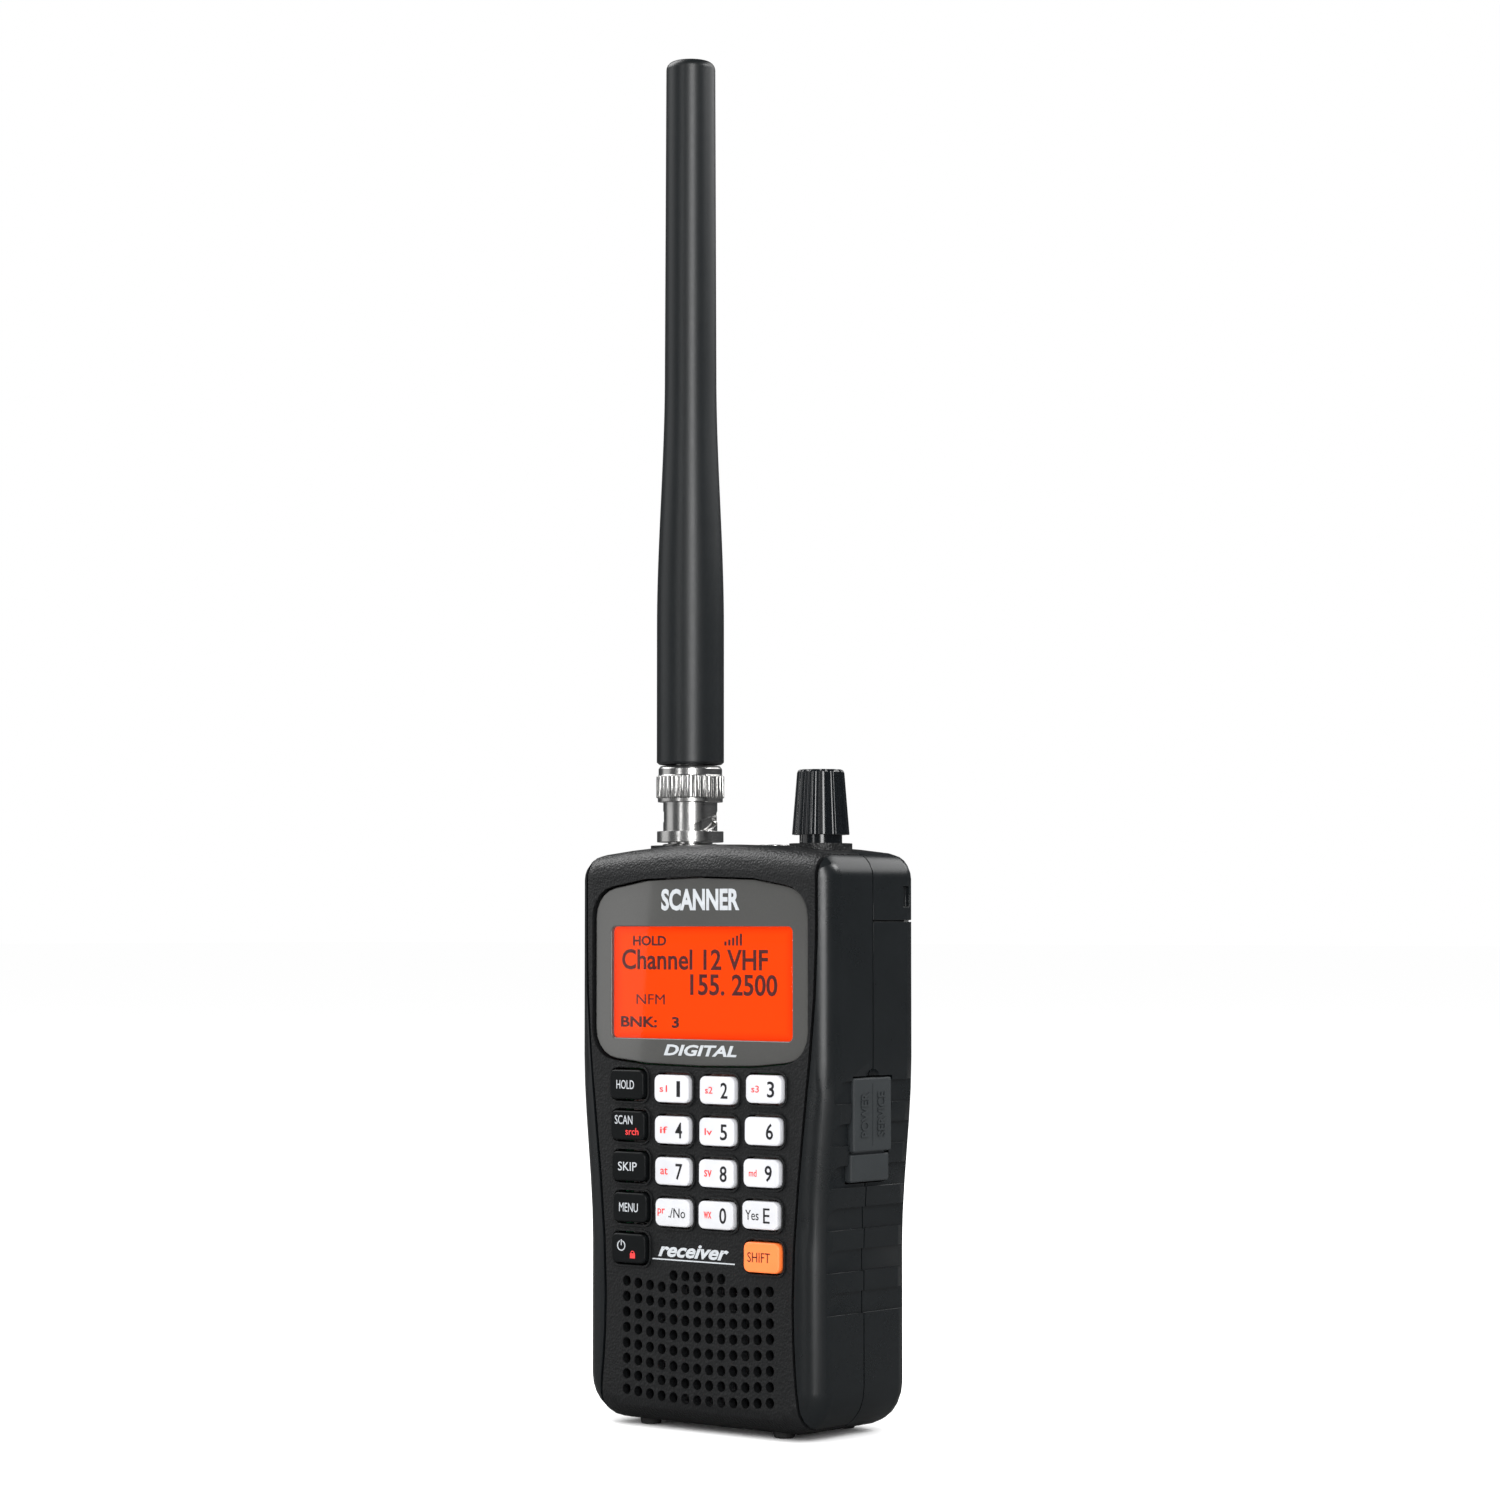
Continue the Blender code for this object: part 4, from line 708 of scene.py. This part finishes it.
def grille_places():
    """Centres of the speaker holes, which rise towards the outer columns."""
    pitch, columns, rows, top_columns = 3.04 * MM, 13, 8, 5
    low, outer_rise = PANEL_LOW.z + 5.3 * MM, 0.9 * MM
    places = []
    for row in range(rows):
        for column in range(columns):
            share = column - (columns - 1) / 2
            rise = outer_rise * (2 * share / (columns - 1)) ** 2
            places.append((share * pitch, low + row * pitch + rise))
    for column in range(top_columns):
        places.append(((column - (top_columns - 1) / 2) * pitch, PANEL_LOW.z + 29.2 * MM))
    return places


def thumb_scoop():
    """The rounded notch above the jack cover, where a thumbnail lifts it."""
    middle = (FLAP_LOW.y + FLAP_HIGH.y) / 2
    bpy.ops.object.select_all(action="DESELECT")
    bpy.ops.mesh.primitive_uv_sphere_add(
        segments=32, ring_count=16, radius=2.2 * MM, location=(FLAP_HIGH.x, middle, FLAP_HIGH.z)
    )
    obj = bpy.context.object
    obj.scale = (0.55, 1.0, 0.75)
    settle(obj)
    return obj


class SCANNER_OT_groove_shade(bpy.types.Operator):
    """Painted shade: near-black liners behind the grooves of the front panel and behind the rear seam,
    standing in for the shade inside the case
    """

    bl_idname = "scanner.groove"
    bl_label = "Groove Liners"

    def execute(self, context):
        back = PANEL_FACE + 2.0 * MM
        inner, outer, thick = 23.2 * MM, 26.6 * MM, 0.3 * MM
        for side, name in ((-1, "groove_liner_left"), (1, "groove_liner_right")):
            across = sorted((side * inner, side * outer))
            low = (across[0], back, PANEL_LOW.z + 4.4 * MM)
            self.shade_liner(name, low, (across[1], back + thick, PANEL_LOW.z + 31 * MM))
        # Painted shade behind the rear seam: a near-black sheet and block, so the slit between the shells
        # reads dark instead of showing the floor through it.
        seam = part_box("battery_door")[1].z
        reach, back = PANEL_SIDE - 0.55 * MM, REAR_FACE - 0.5 * MM
        obj = add_box(
            "rear_seam_liner", (-reach, -3.3 * MM, seam + 0.02 * MM), (reach, back, seam + 0.28 * MM)
        )
        select_by(obj, "EDGE", lambda p: all(abs(q.y - back) < TINY for q in p) and p[0].x == p[1].x)
        bpy.ops.mesh.bevel(offset=4.3 * MM, segments=8, affect="EDGES", clamp_overlap=False)
        bpy.ops.object.mode_set(mode="OBJECT")
        dress(obj, "void", "radio")
        reach, back = PANEL_SIDE - 2.6 * MM, REAR_FACE - 2.1 * MM
        low = (-reach, -3.0 * MM, seam - 1.1 * MM)
        self.shade_liner("rear_seam_block", low, (reach, back, seam + 1.2 * MM))
        return {"FINISHED"}

    def shade_liner(self, name, low, high):
        # A near-black box of painted shade.
        obj = add_box(name, low, high)
        bevel(obj, 0.08 * MM)
        dress(obj, "void", "radio")


class SCANNER_OT_display(bpy.types.Operator):
    """Lens with its printed border, clear window and lit screen"""

    bl_idname = "scanner.display"
    bl_label = "Display"

    def execute(self, context):
        size = sizes()
        middle = WINDOW_MIDDLE
        width, height = size.window_width, size.window_height
        hole = rounded_plate(
            "window_cutter", middle, width, height, LENS_FACE - 2 * MM, LENS_HIGH.y + 2 * MM, 1.1 * MM, 0
        )
        lens = working_copy("display_lens", "display_lens_finished")
        cut(lens, hole)
        bevel(lens, 0.28 * MM, 3, 60, clamp=False)
        smooth(lens)
        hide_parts("display_lens")
        dress(lens, "border", "radio")
        gap = 0.06 * MM
        face = LENS_FACE + 0.12 * MM
        pane = rounded_plate(
            "display_window",
            middle,
            width - gap,
            height - gap,
            face,
            face + 0.25 * MM,
            1.05 * MM,
            0.03 * MM,
        )
        dress(pane, "window", "radio")
        depth = LENS_FACE + 0.75 * MM
        back = LENS_HIGH.y - 0.05 * MM
        screen = rounded_plate(
            "lcd_screen", middle, width - gap, height - gap, depth, back, 1.0 * MM, 0.03 * MM
        )
        dress(screen, "screen", "radio")
        rows = (
            ("lcd_mode", "HOLD", (-13.7, 94.8), (8.7, 2.0), 0.03),
            ("lcd_channel", "Channel 12 VHF", (-2.2, 91.1), (37.5, 4.1), 0.018),
            ("lcd_frequency", "155. 2500", (7.9, 86.2), (22.0, 4.2), 0.018),
            ("lcd_band", "NFM", (-13.4, 83.2), (7.4, 2.0), 0.0),
            ("lcd_bank", "BNK:   3", (-13.6, 78.7), (15.2, 2.2), 0.03),
        )
        for name, words, (x, z), (wide, tall), weight in rows:
            place = (x * MM, PANEL_LOW.z + z * MM)
            fit = (wide * MM, tall * MM)
            lettering(name, words, place, fit, depth - 0.02 * MM, "screen_ink", "radio", 0, weight)
        bars = []
        for step in range(5):
            x = (5.6 + 0.98 * step) * MM
            low = PANEL_LOW.z + 93.9 * MM
            tall = (0.8 + 0.38 * step) * MM
            low_corner = (x, depth - 0.05 * MM, low)
            bars.append(add_box("bar", low_corner, (x + 0.52 * MM, depth + 0.02 * MM, low + tall)))
        signal = joined(bars, "lcd_signal_bars")
        dress(signal, "screen_ink", "radio")
        face = LENS_FACE - 0.015 * MM
        top = (0.0, PANEL_LOW.z + 102.9 * MM)
        fit = (20.0 * MM, 4.3 * MM)
        lettering("lens_title", "SCANNER", top, fit, face, "pale_ink", "radio", 0, 0.035)
        foot = (0.0, PANEL_LOW.z + 73.3 * MM)
        fit = (18.6 * MM, 2.2 * MM)
        lettering("lens_label", "DIGITAL", foot, fit, face, "pale_ink", "radio", 0.25, 0.03)
        return {"FINISHED"}


def node_slot(node):
    """The finish of a key, which is also its material slot."""
    if node == "key_function":
        return "orange_key"
    return "dark_key" if node in DARK_KEYS else "pale_key"


LEGENDS = {
    "key_1": ("1", "s1"),
    "key_2": ("2", "s2"),
    "key_3": ("3", "s3"),
    "key_4": ("4", "if"),
    "key_5": ("5", "lv"),
    "key_6": ("6", ""),
    "key_7": ("7", "at"),
    "key_8": ("8", "sv"),
    "key_9": ("9", "md"),
    "key_no": ("./No", "pr"),
    "key_0": ("0", "wx"),
    "key_yes": ("Yes E", ""),
    "key_hold": ("HOLD", ""),
    "key_scan": ("SCAN", "srch"),
    "key_lockout": ("SKIP", ""),
    "key_menu": ("MENU", ""),
    "key_power": ("", ""),
    "key_function": ("SHIFT", ""),
}


class SCANNER_OT_keys(bpy.types.Operator):
    """Key caps with rounded faces, their printed legends and the raised rims round them"""

    bl_idname = "scanner.keys"
    bl_label = "Keys"

    def execute(self, context):
        size = sizes()
        rims = []
        for node in KEY_NODES:
            low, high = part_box(node)
            flange = 0.7 * MM
            centre = ((low.x + high.x) / 2, (low.z + high.z) / 2)
            width, height = high.x - low.x - 2 * flange, high.z - low.z - 2 * flange
            finish = node_slot(node)
            cap = rounded_plate(
                node + "_cap",
                centre,
                width,
                height,
                low.y,
                high.y - 0.9 * MM,
                size.key_corner,
                size.key_edge,
            )
            smooth(cap, 50)
            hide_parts(node)
            dress(cap, finish, node)
            rims.append(self.rim(node, centre, width, height))
            self.print_legend(node, centre, low.y)
        ring = joined(rims, "key_rims")
        bevel(ring, 0.07 * MM, 2, 40)
        smooth(ring)
        dress(ring, "panel", "radio")
        return {"FINISHED"}

    def rim(self, node, centre, width, height):
        size = sizes()
        slack = 0.42 * MM
        inner = (width + 2 * slack, height + 2 * slack, size.key_corner + slack)
        grow = size.rim_width
        outer = [v + 2 * grow for v in inner[:2]] + [inner[2] + grow]
        front = PANEL_FACE - size.rim_height
        ring = rounded_plate(
            node + "_rim", centre, outer[0], outer[1], front, PANEL_FACE + 0.3 * MM, outer[2], 0
        )
        hole = rounded_plate(
            "rim_hole", centre, inner[0], inner[1], front - 1 * MM, PANEL_FACE + 1 * MM, inner[2], 0
        )
        cut(ring, hole)
        return ring

    def print_legend(self, node, centre, face):
        """The main legend in black or grey, and the red second one beside or under it."""
        main, second = LEGENDS[node]
        x, z = centre
        surface = face - 0.01 * MM
        slot = node_slot(node)
        if not main:
            self.power_mark(node, x, z, surface)
        elif len(main) == 1:
            wide = 0.9 if main == "1" else 1.75
            self.word(node, "_digit", main, (x + 1.95 * MM, z), (wide, 3.1), surface, "ink", slot)
            if second:
                size = (0.95 * len(second), 1.35)
                self.word(node, "_second", second, (x - 1.9 * MM, z), size, surface, "red_ink", slot)
        elif node == "key_no":
            self.word(node, "_word", main, (x + 1.3 * MM, z), (4.3, 1.9), surface, "ink", slot)
            self.word(node, "_second", second, (x - 2.7 * MM, z), (1.9, 1.5), surface, "red_ink", slot)
        elif node == "key_yes":
            self.word(node, "_word", "Yes", (x - 1.8 * MM, z), (3.3, 1.9), surface, "ink", slot)
            self.word(node, "_letter", "E", (x + 1.8 * MM, z), (1.6, 2.9), surface, "ink", slot)
        elif node == "key_function":
            self.word(node, "_word", main, (x - 0.5 * MM, z), (5.6, 1.9), surface, "screen_ink", slot)
        else:
            lift = 1.1 * MM if second else 0.0
            wide = 4.6 if second or node == "key_hold" else 4.9
            at = (x - 0.9 * MM if second else x - 0.2 * MM, z + lift)
            self.word(node, "_word", main, at, (wide, 1.75), surface, "pale_ink", slot)
            if second:
                at = (x + 1.3 * MM, z - 1.15 * MM)
                self.word(node, "_second", second, at, (3.4, 1.4), surface, "red_ink", slot)

    def word(self, node, ending, words, centre, size, surface, finish, slot):
        fit = (size[0] * MM, size[1] * MM)
        weight = {"_digit": 0.012, "_second": 0.008}.get(ending, 0.0)
        lettering(node + ending, words, centre, fit, surface, finish, node, 0, weight)

    def power_mark(self, node, x, z, surface):
        """A ring open at its top, with a short bar in the opening."""
        bpy.ops.object.select_all(action="DESELECT")
        bpy.ops.mesh.primitive_torus_add(
            major_segments=32,
            minor_segments=6,
            major_radius=0.95 * MM,
            minor_radius=0.12 * MM,
            location=(x - 1.7 * MM, surface, z + 0.5 * MM),
            rotation=(math.radians(90), 0, 0),
        )
        ring = context_object("power_ring")
        settle(ring)
        top = (x - 1.7 * MM, surface, z + 1.5 * MM)
        notch = add_box(
            "notch",
            (top[0] - 0.35 * MM, surface - 1 * MM, top[2] - 0.5 * MM),
            (top[0] + 0.35 * MM, surface + 1 * MM, top[2] + 0.5 * MM),
        )
        cut(ring, notch)
        bar = add_box(
            "power_bar",
            (top[0] - 0.11 * MM, surface - 0.03 * MM, z + 0.55 * MM),
            (top[0] + 0.11 * MM, surface + 0.03 * MM, z + 1.7 * MM),
        )
        mark = joined([ring, bar], node + "_mark")
        dress(mark, "pale_ink", node)
        lock = add_box(
            "lock_body",
            (x + 0.6 * MM, surface - 0.03 * MM, z - 1.9 * MM),
            (x + 1.9 * MM, surface + 0.03 * MM, z - 0.9 * MM),
        )
        bpy.ops.object.select_all(action="DESELECT")
        bpy.ops.mesh.primitive_torus_add(
            major_segments=24,
            minor_segments=6,
            major_radius=0.42 * MM,
            minor_radius=0.1 * MM,
            location=(x + 1.25 * MM, surface, z - 0.9 * MM),
            rotation=(math.radians(90), 0, 0),
        )
        shackle = context_object("lock_shackle")
        settle(shackle)
        icon = joined([lock, shackle], node + "_lock")
        dress(icon, "red_ink", node)


def context_object(name):
    obj = bpy.context.object
    obj.name = name
    return obj


class SCANNER_OT_script(bpy.types.Operator):
    """Slanted word with a line under it, between the power and shift keys"""

    bl_idname = "scanner.script"
    bl_label = "Panel Mark"

    def execute(self, context):
        place = (-1.0 * MM, PANEL_LOW.z + 34.1 * MM)
        fit = (18.0 * MM, 2.7 * MM)
        surface = PANEL_FACE - 0.015 * MM
        lettering(
            "panel_mark", "receiver", place, fit, surface, "pale_ink", "radio", 0.35, 0.03
        )
        line = add_box(
            "panel_mark_line",
            (place[0] - 10.5 * MM, surface - 0.02 * MM, place[1] - 2.0 * MM),
            (place[0] + 10.5 * MM, surface + 0.02 * MM, place[1] - 1.75 * MM),
        )
        bevel(line, 0.01 * MM)
        dress(line, "pale_ink", "radio")
        return {"FINISHED"}


class SCANNER_OT_connector(bpy.types.Operator):
    """Plated bayonet nut with its straight knurl, and the jack below it"""

    bl_idname = "scanner.connector"
    bl_label = "Antenna Connector"

    def execute(self, context):
        centre = ((NUT_LOW.x + NUT_HIGH.x) / 2, (NUT_LOW.y + NUT_HIGH.y) / 2)
        radius = (NUT_HIGH.x - NUT_LOW.x) / 2
        low, high = NUT_LOW.z + 8.9 * MM, NUT_LOW.z + 13.6 * MM
        flutes = []
        count = 40
        for number in range(count):
            angle = 2 * math.pi * number / count
            reach = radius + 0.12 * MM
            bpy.ops.object.select_all(action="DESELECT")
            bpy.ops.mesh.primitive_cylinder_add(
                vertices=8,
                radius=0.36 * MM,
                depth=high - low,
                location=(
                    centre[0] + reach * math.cos(angle),
                    centre[1] + reach * math.sin(angle),
                    (low + high) / 2,
                ),
            )
            flutes.append(context.object)
        cutter = joined(flutes, "flutes")
        settle(cutter)
        refine("coupling_nut", "nickel", 0.1 * MM, 2, (cutter,), clamp=False, shade=30)
        refine("bnc_jack", "nickel", 0.08 * MM, 2, clamp=False)
        washer_radius, washer_bore = 5.6 * MM, 4.55 * MM
        washer = turned(
            "jack_washer",
            (centre[0], centre[1]),
            [
                (washer_radius, PANEL_HIGH.z - 0.05 * MM),
                (washer_radius, PANEL_HIGH.z + 0.2 * MM),
                (washer_radius - 0.3 * MM, PANEL_HIGH.z + 0.35 * MM),
            ],
        )
        bore = turned(
            "washer_bore",
            (centre[0], centre[1]),
            [(washer_bore, PANEL_HIGH.z - 1 * MM), (washer_bore, PANEL_HIGH.z + 2 * MM)],
        )
        cut(washer, bore)
        bevel(washer, 0.06 * MM)
        smooth(washer)
        dress(washer, "nickel", "radio")
        refine("phones_jack", "nickel", 0.15 * MM, 2)
        return {"FINISHED"}


class SCANNER_OT_antenna(bpy.types.Operator):
    """Rubber sleeve: straight at its foot, a long taper, then slim to a rounded tip"""

    bl_idname = "scanner.antenna"
    bl_label = "Antenna Sleeve"

    def execute(self, context):
        centre = ((SLEEVE_LOW.x + SLEEVE_HIGH.x) / 2, (SLEEVE_LOW.y + SLEEVE_HIGH.y) / 2)
        base = (SLEEVE_HIGH.x - SLEEVE_LOW.x) / 2
        length = SLEEVE_HIGH.z - SLEEVE_LOW.z
        middle, tip = 5.25 * MM, 5.0 * MM
        start, end = 28 * MM, 79 * MM
        profile = [(base - 0.5 * MM, SLEEVE_LOW.z), (base, SLEEVE_LOW.z + 0.45 * MM)]
        steps = 24
        for number in range(steps + 1):
            height = start + (end - start) * number / steps
            share = number / steps
            share = share * share * (3 - 2 * share)
            profile.append((base + (middle - base) * share, SLEEVE_LOW.z + height))
        round_over = 1.7 * MM
        steps = 8
        for number in range(steps):
            turn = math.radians(90 * number / steps)
            radius = tip - round_over * (1 - math.cos(turn))
            profile.append((radius, SLEEVE_HIGH.z - round_over * (1 - math.sin(turn))))
        profile.append((tip - round_over - 0.4 * MM, SLEEVE_HIGH.z))
        sleeve = turned("antenna_sleeve_finished", centre, profile, 80)
        bore = turned(
            "sleeve_bore",
            centre,
            [(3.3 * MM, SLEEVE_LOW.z - 1 * MM), (3.3 * MM, SLEEVE_LOW.z + length - 8 * MM)],
        )
        cut(sleeve, bore)
        smooth(sleeve)
        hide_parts("antenna_sleeve")
        dress(sleeve, "sleeve", "antenna")
        return {"FINISHED"}


class SCANNER_OT_knob(bpy.types.Operator):
    """Tapered control knob with wide flutes, on its smooth neck"""

    bl_idname = "scanner.knob"
    bl_label = "Control Knob"

    def execute(self, context):
        shaft_low, shaft_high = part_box("encoder_shaft")
        centre = ((shaft_low.x + shaft_high.x) / 2, (shaft_low.y + shaft_high.y) / 2)
        neck_height = 2.4 * MM
        foot_radius, neck_radius, bore_radius = 5.62 * MM, 4.2 * MM, 3.2 * MM
        low, high = KNOB_LOW.z + neck_height, KNOB_HIGH.z
        ribs, per_rib = 12, 16
        bpy.ops.object.select_all(action="DESELECT")
        bpy.ops.mesh.primitive_circle_add(
            vertices=ribs * per_rib,
            radius=foot_radius,
            fill_type="NGON",
            location=(centre[0], centre[1], low),
        )
        knob = context_object("control_knob_finished")
        settle(knob)
        middle = (centre[0], centre[1], low)
        flute_steps = ((0.36, 0.985), (0.31, 0.96), (0.24, 0.985), (0.15, 0.985))
        for reach, share in flute_steps:
            select_by(knob, "VERT", lambda p, r=reach: self.in_flute(p[0], centre, ribs, r))
            bpy.ops.transform.resize(value=(share, share, 1.0), center_override=middle)
            bpy.ops.object.mode_set(mode="OBJECT")
        bpy.ops.object.mode_set(mode="EDIT")
        bpy.ops.mesh.select_mode(type="FACE")
        bpy.ops.mesh.select_all(action="SELECT")
        height = high - low
        taper = 4.5 / 5.5
        rises = (0.02, 0.93, 0.035, 0.015)
        widths = (1.005, taper * 1.01, 0.955, 0.94)
        at = low
        for rise, share in zip(rises, widths):
            at += rise * height
            bpy.ops.mesh.extrude_region_move(TRANSFORM_OT_translate={"value": (0, 0, rise * height)})
            bpy.ops.transform.resize(
                value=(share, share, 1.0), center_override=(centre[0], centre[1], at)
            )
        for share, drop_by in ((0.84, 0.0), (0.93, 0.12 * MM)):
            at -= drop_by
            bpy.ops.mesh.extrude_region_move(TRANSFORM_OT_translate={"value": (0, 0, -drop_by)})
            bpy.ops.transform.resize(
                value=(share, share, 1.0), center_override=(centre[0], centre[1], at)
            )
        bpy.ops.mesh.select_all(action="SELECT")
        bpy.ops.mesh.normals_make_consistent(inside=False)
        bpy.ops.object.mode_set(mode="OBJECT")
        neck = turned(
            "knob_neck",
            centre,
            [(neck_radius, KNOB_LOW.z), (neck_radius, low + 1.0 * MM)],
            64,
        )
        cut(knob, neck, "UNION")
        bore = turned(
            "knob_bore",
            centre,
            [(bore_radius, KNOB_LOW.z - 1 * MM), (bore_radius, high - 1.8 * MM)],
            48,
        )
        cut(knob, bore)
        smooth(knob, 32)
        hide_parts("control_knob")
        dress(knob, "knob", "knob")
        return {"FINISHED"}

    def in_flute(self, point, centre, ribs, reach):
        turn = math.atan2(point.y - centre[1], point.x - centre[0]) / (2 * math.pi) * ribs
        return abs(turn - round(turn)) < reach


class SCANNER_OT_jack_cover(bpy.types.Operator):
    """Rubber flap with raised words, its hinge strap and its anchor"""

    bl_idname = "scanner.jack_cover"
    bl_label = "Jack Cover"

    def execute(self, context):
        refine("jack_cover_flap", "cover", 0.45 * MM, 3, angle=60)
        refine("jack_cover_anchor", "cover", 0.4 * MM, 3, angle=60)
        middle = (FLAP_LOW.y + FLAP_HIGH.y) / 2
        strap = add_box(
            "jack_cover_strap",
            (ANCHOR_LOW.x + 0.3 * MM, FLAP_LOW.y + 0.9 * MM, ANCHOR_HIGH.z - 0.5 * MM),
            (ANCHOR_HIGH.x - 0.5 * MM, FLAP_HIGH.y - 0.9 * MM, FLAP_LOW.z + 0.5 * MM),
        )
        bevel(strap, 0.12 * MM, 2)
        smooth(strap)
        dress(strap, "cover", "radio")
        face = FLAP_HIGH.x
        line = add_box(
            "cover_divider",
            (face - 0.05 * MM, middle - 0.12 * MM, FLAP_LOW.z + 1.2 * MM),
            (face + 0.12 * MM, middle + 0.12 * MM, FLAP_HIGH.z - 1.2 * MM),
        )
        bevel(line, 0.05 * MM, 2)
        dress(line, "cover", "jack_cover")
        tall = (FLAP_LOW.z + FLAP_HIGH.z) / 2
        for name, words, y in (
            ("cover_word_front", "POWER", middle - 2.6 * MM),
            ("cover_word_back", "SERVICE", middle + 2.6 * MM),
        ):
            fit = (8.6 * MM, 2.5 * MM)
            obj = lettering(name, words, (0, 0), fit, 0.0, "cover", "jack_cover", 0, 0.02)
            obj.data.transform(Matrix.Scale(5.0, 4, (0, 1, 0)))
            obj.data.transform(Matrix.Rotation(math.radians(90), 4, "Z"))
            obj.data.transform(Matrix.Rotation(math.radians(90), 4, "X"))
            obj.data.transform(Matrix.Translation((face + 0.05 * MM, y, tall)))
        return {"FINISHED"}


class SCANNER_OT_small_parts(bpy.types.Operator):
    """Feet, belt clip and the parts inside the case"""

    bl_idname = "scanner.small_parts"
    bl_label = "Feet, Clip and Inner Parts"

    def execute(self, context):
        for node in ("foot_front_left", "foot_front_right", "foot_rear_left", "foot_rear_right"):
            refine(node, "foot", 0.25 * MM, 3, angle=50)
        refine("clip_base", "case", 0.25 * MM, 2, angle=50)
        refine("clip_lever", "case", 0.35 * MM, 3, angle=50)
        inner = {
            "steel": (
                "clip_pin clip_spring battery_link_contact battery_plate battery_spring case_screw_left"
                " case_screw_right encoder_housing encoder_rotor encoder_shaft speaker_frame"
            ),
            "nickel": "plug_body bnc_panel_nut",
            "inner": "lcd_holder side_socket_block keypad_membrane bnc_insulator",
            "board": "main_board",
            "screen": "lcd_panel",
            # The speaker cone's own black, from the same near-black finish that paints shade in the liners.
            "void": "speaker_cone",
            "copper": "antenna_coil",
            "jacket": "battery_cell_1 battery_cell_2",
        }
        for finish, names in inner.items():
            for node in names.split():
                NODES[node].data.materials.clear()
                NODES[node].data.materials.append(finish_of(finish))
        return {"FINISHED"}


class SCANNER_OT_stage(bpy.types.Operator):
    """Pale floor, soft studio lights and the camera"""

    bl_idname = "scanner.stage"
    bl_label = "Stage"

    def execute(self, context):
        scene = context.scene
        scene.view_settings.view_transform = "Standard"
        bpy.ops.object.select_all(action="DESELECT")
        bpy.ops.mesh.primitive_plane_add(size=30.0, location=(0, 0, -0.0001))
        floor = context_object("floor")
        floor.data.materials.append(self.floor_finish())
        for name, (place, size, power) in LIGHTS.items():
            self.light(name, place, size, power)
        world = bpy.data.worlds.new("studio")
        world.use_nodes = True
        scene.world = world
        tree = world.node_tree
        start = Wire(tree)
        mirrored = start.add("ShaderNodeLightPath", output="Is Glossy Ray")
        shade = mirrored.blend((1.0, 1.0, 1.0, 1.0), (0.055, 0.058, 0.062, 1.0))
        tree.links.new(shade.socket, tree.nodes["Background"].inputs["Color"])
        self.camera(scene)
        return {"FINISHED"}

    def floor_finish(self):
        colour = colours().floor
        finish = Finish("studio_floor", colour, 0.8)
        finish.shader.inputs["Specular IOR Level"].default_value = 0.0
        slow = finish.place.noise(2.0)
        # Painted reflection: in glossy rays the floor takes a tenth of its colour, so shiny parts reflect it
        # dark while it looks white to the camera.
        mirrored = finish.place.add("ShaderNodeLightPath", output="Is Glossy Ray")
        finish.set("Base Color", mirrored.blend(tuple(colour), mixed(colour, 0.1)))
        finish.set("Roughness", slow * 0.1 + 0.75)
        return finish.material

    def light(self, name, place, size, power):
        data = bpy.data.lights.new(name, "AREA")
        data.shape = "RECTANGLE"
        data.size, data.size_y = size
        data.energy = power
        obj = bpy.data.objects.new(name, data)
        bpy.context.scene.collection.objects.link(obj)
        obj.location = place
        aim = Vector((0, 0, 0.09)) - Vector(place)
        obj.rotation_euler = aim.to_track_quat("-Z", "Y").to_euler()
        return obj

    def camera(self, scene):
        data = bpy.data.cameras.new("camera")
        data.sensor_width = 36.0
        data.lens = CAMERA_LENS
        data.clip_start, data.clip_end = 0.01, 50.0
        obj = bpy.data.objects.new("camera", data)
        scene.collection.objects.link(obj)
        turn = math.radians(CAMERA_AZIMUTH)
        middle_y = PANEL_FACE + 15.5 * MM
        obj.location = (
            CAMERA_DISTANCE * math.sin(turn),
            middle_y - CAMERA_DISTANCE * math.cos(turn),
            CAMERA_HEIGHT,
        )
        obj.rotation_euler = (math.radians(90 + CAMERA_PITCH), 0, turn - CAMERA_AIM)
        scene.camera = obj


class SCANNER_PT_panel(bpy.types.Panel):
    """Lists the scanner's pieces in the sidebar"""

    bl_label = "Radio Scanner"
    bl_idname = "SCANNER_PT_panel"
    bl_space_type = "VIEW_3D"
    bl_region_type = "UI"
    bl_category = "Scanner"

    def draw(self, context):
        for operator in OPERATORS:
            self.layout.operator(operator.bl_idname)
        for group in (context.scene.scanner_sizes, context.scene.scanner_colours):
            box = self.layout.box()
            for name in group.__annotations__:
                box.prop(group, name)


OPERATORS = (
    SCANNER_OT_shells,
    SCANNER_OT_groove_shade,
    SCANNER_OT_display,
    SCANNER_OT_keys,
    SCANNER_OT_script,
    SCANNER_OT_connector,
    SCANNER_OT_antenna,
    SCANNER_OT_knob,
    SCANNER_OT_jack_cover,
    SCANNER_OT_small_parts,
    SCANNER_OT_stage,
)
CLASSES = (ScannerSizes, ScannerColours, *OPERATORS, SCANNER_PT_panel)


def register():
    for cls in CLASSES:
        bpy.utils.register_class(cls)
    bpy.types.Scene.scanner_sizes = bpy.props.PointerProperty(type=ScannerSizes)
    bpy.types.Scene.scanner_colours = bpy.props.PointerProperty(type=ScannerColours)


def unregister():
    del bpy.types.Scene.scanner_colours
    del bpy.types.Scene.scanner_sizes
    for cls in reversed(CLASSES):
        bpy.utils.unregister_class(cls)


def main():
    register()
    bpy.ops.scanner.shells()
    bpy.ops.scanner.groove()
    bpy.ops.scanner.display()
    bpy.ops.scanner.keys()
    bpy.ops.scanner.script()
    bpy.ops.scanner.connector()
    bpy.ops.scanner.antenna()
    bpy.ops.scanner.knob()
    bpy.ops.scanner.jack_cover()
    bpy.ops.scanner.small_parts()
    bpy.ops.scanner.stage()
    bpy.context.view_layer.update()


if __name__ == "__main__":
    main()
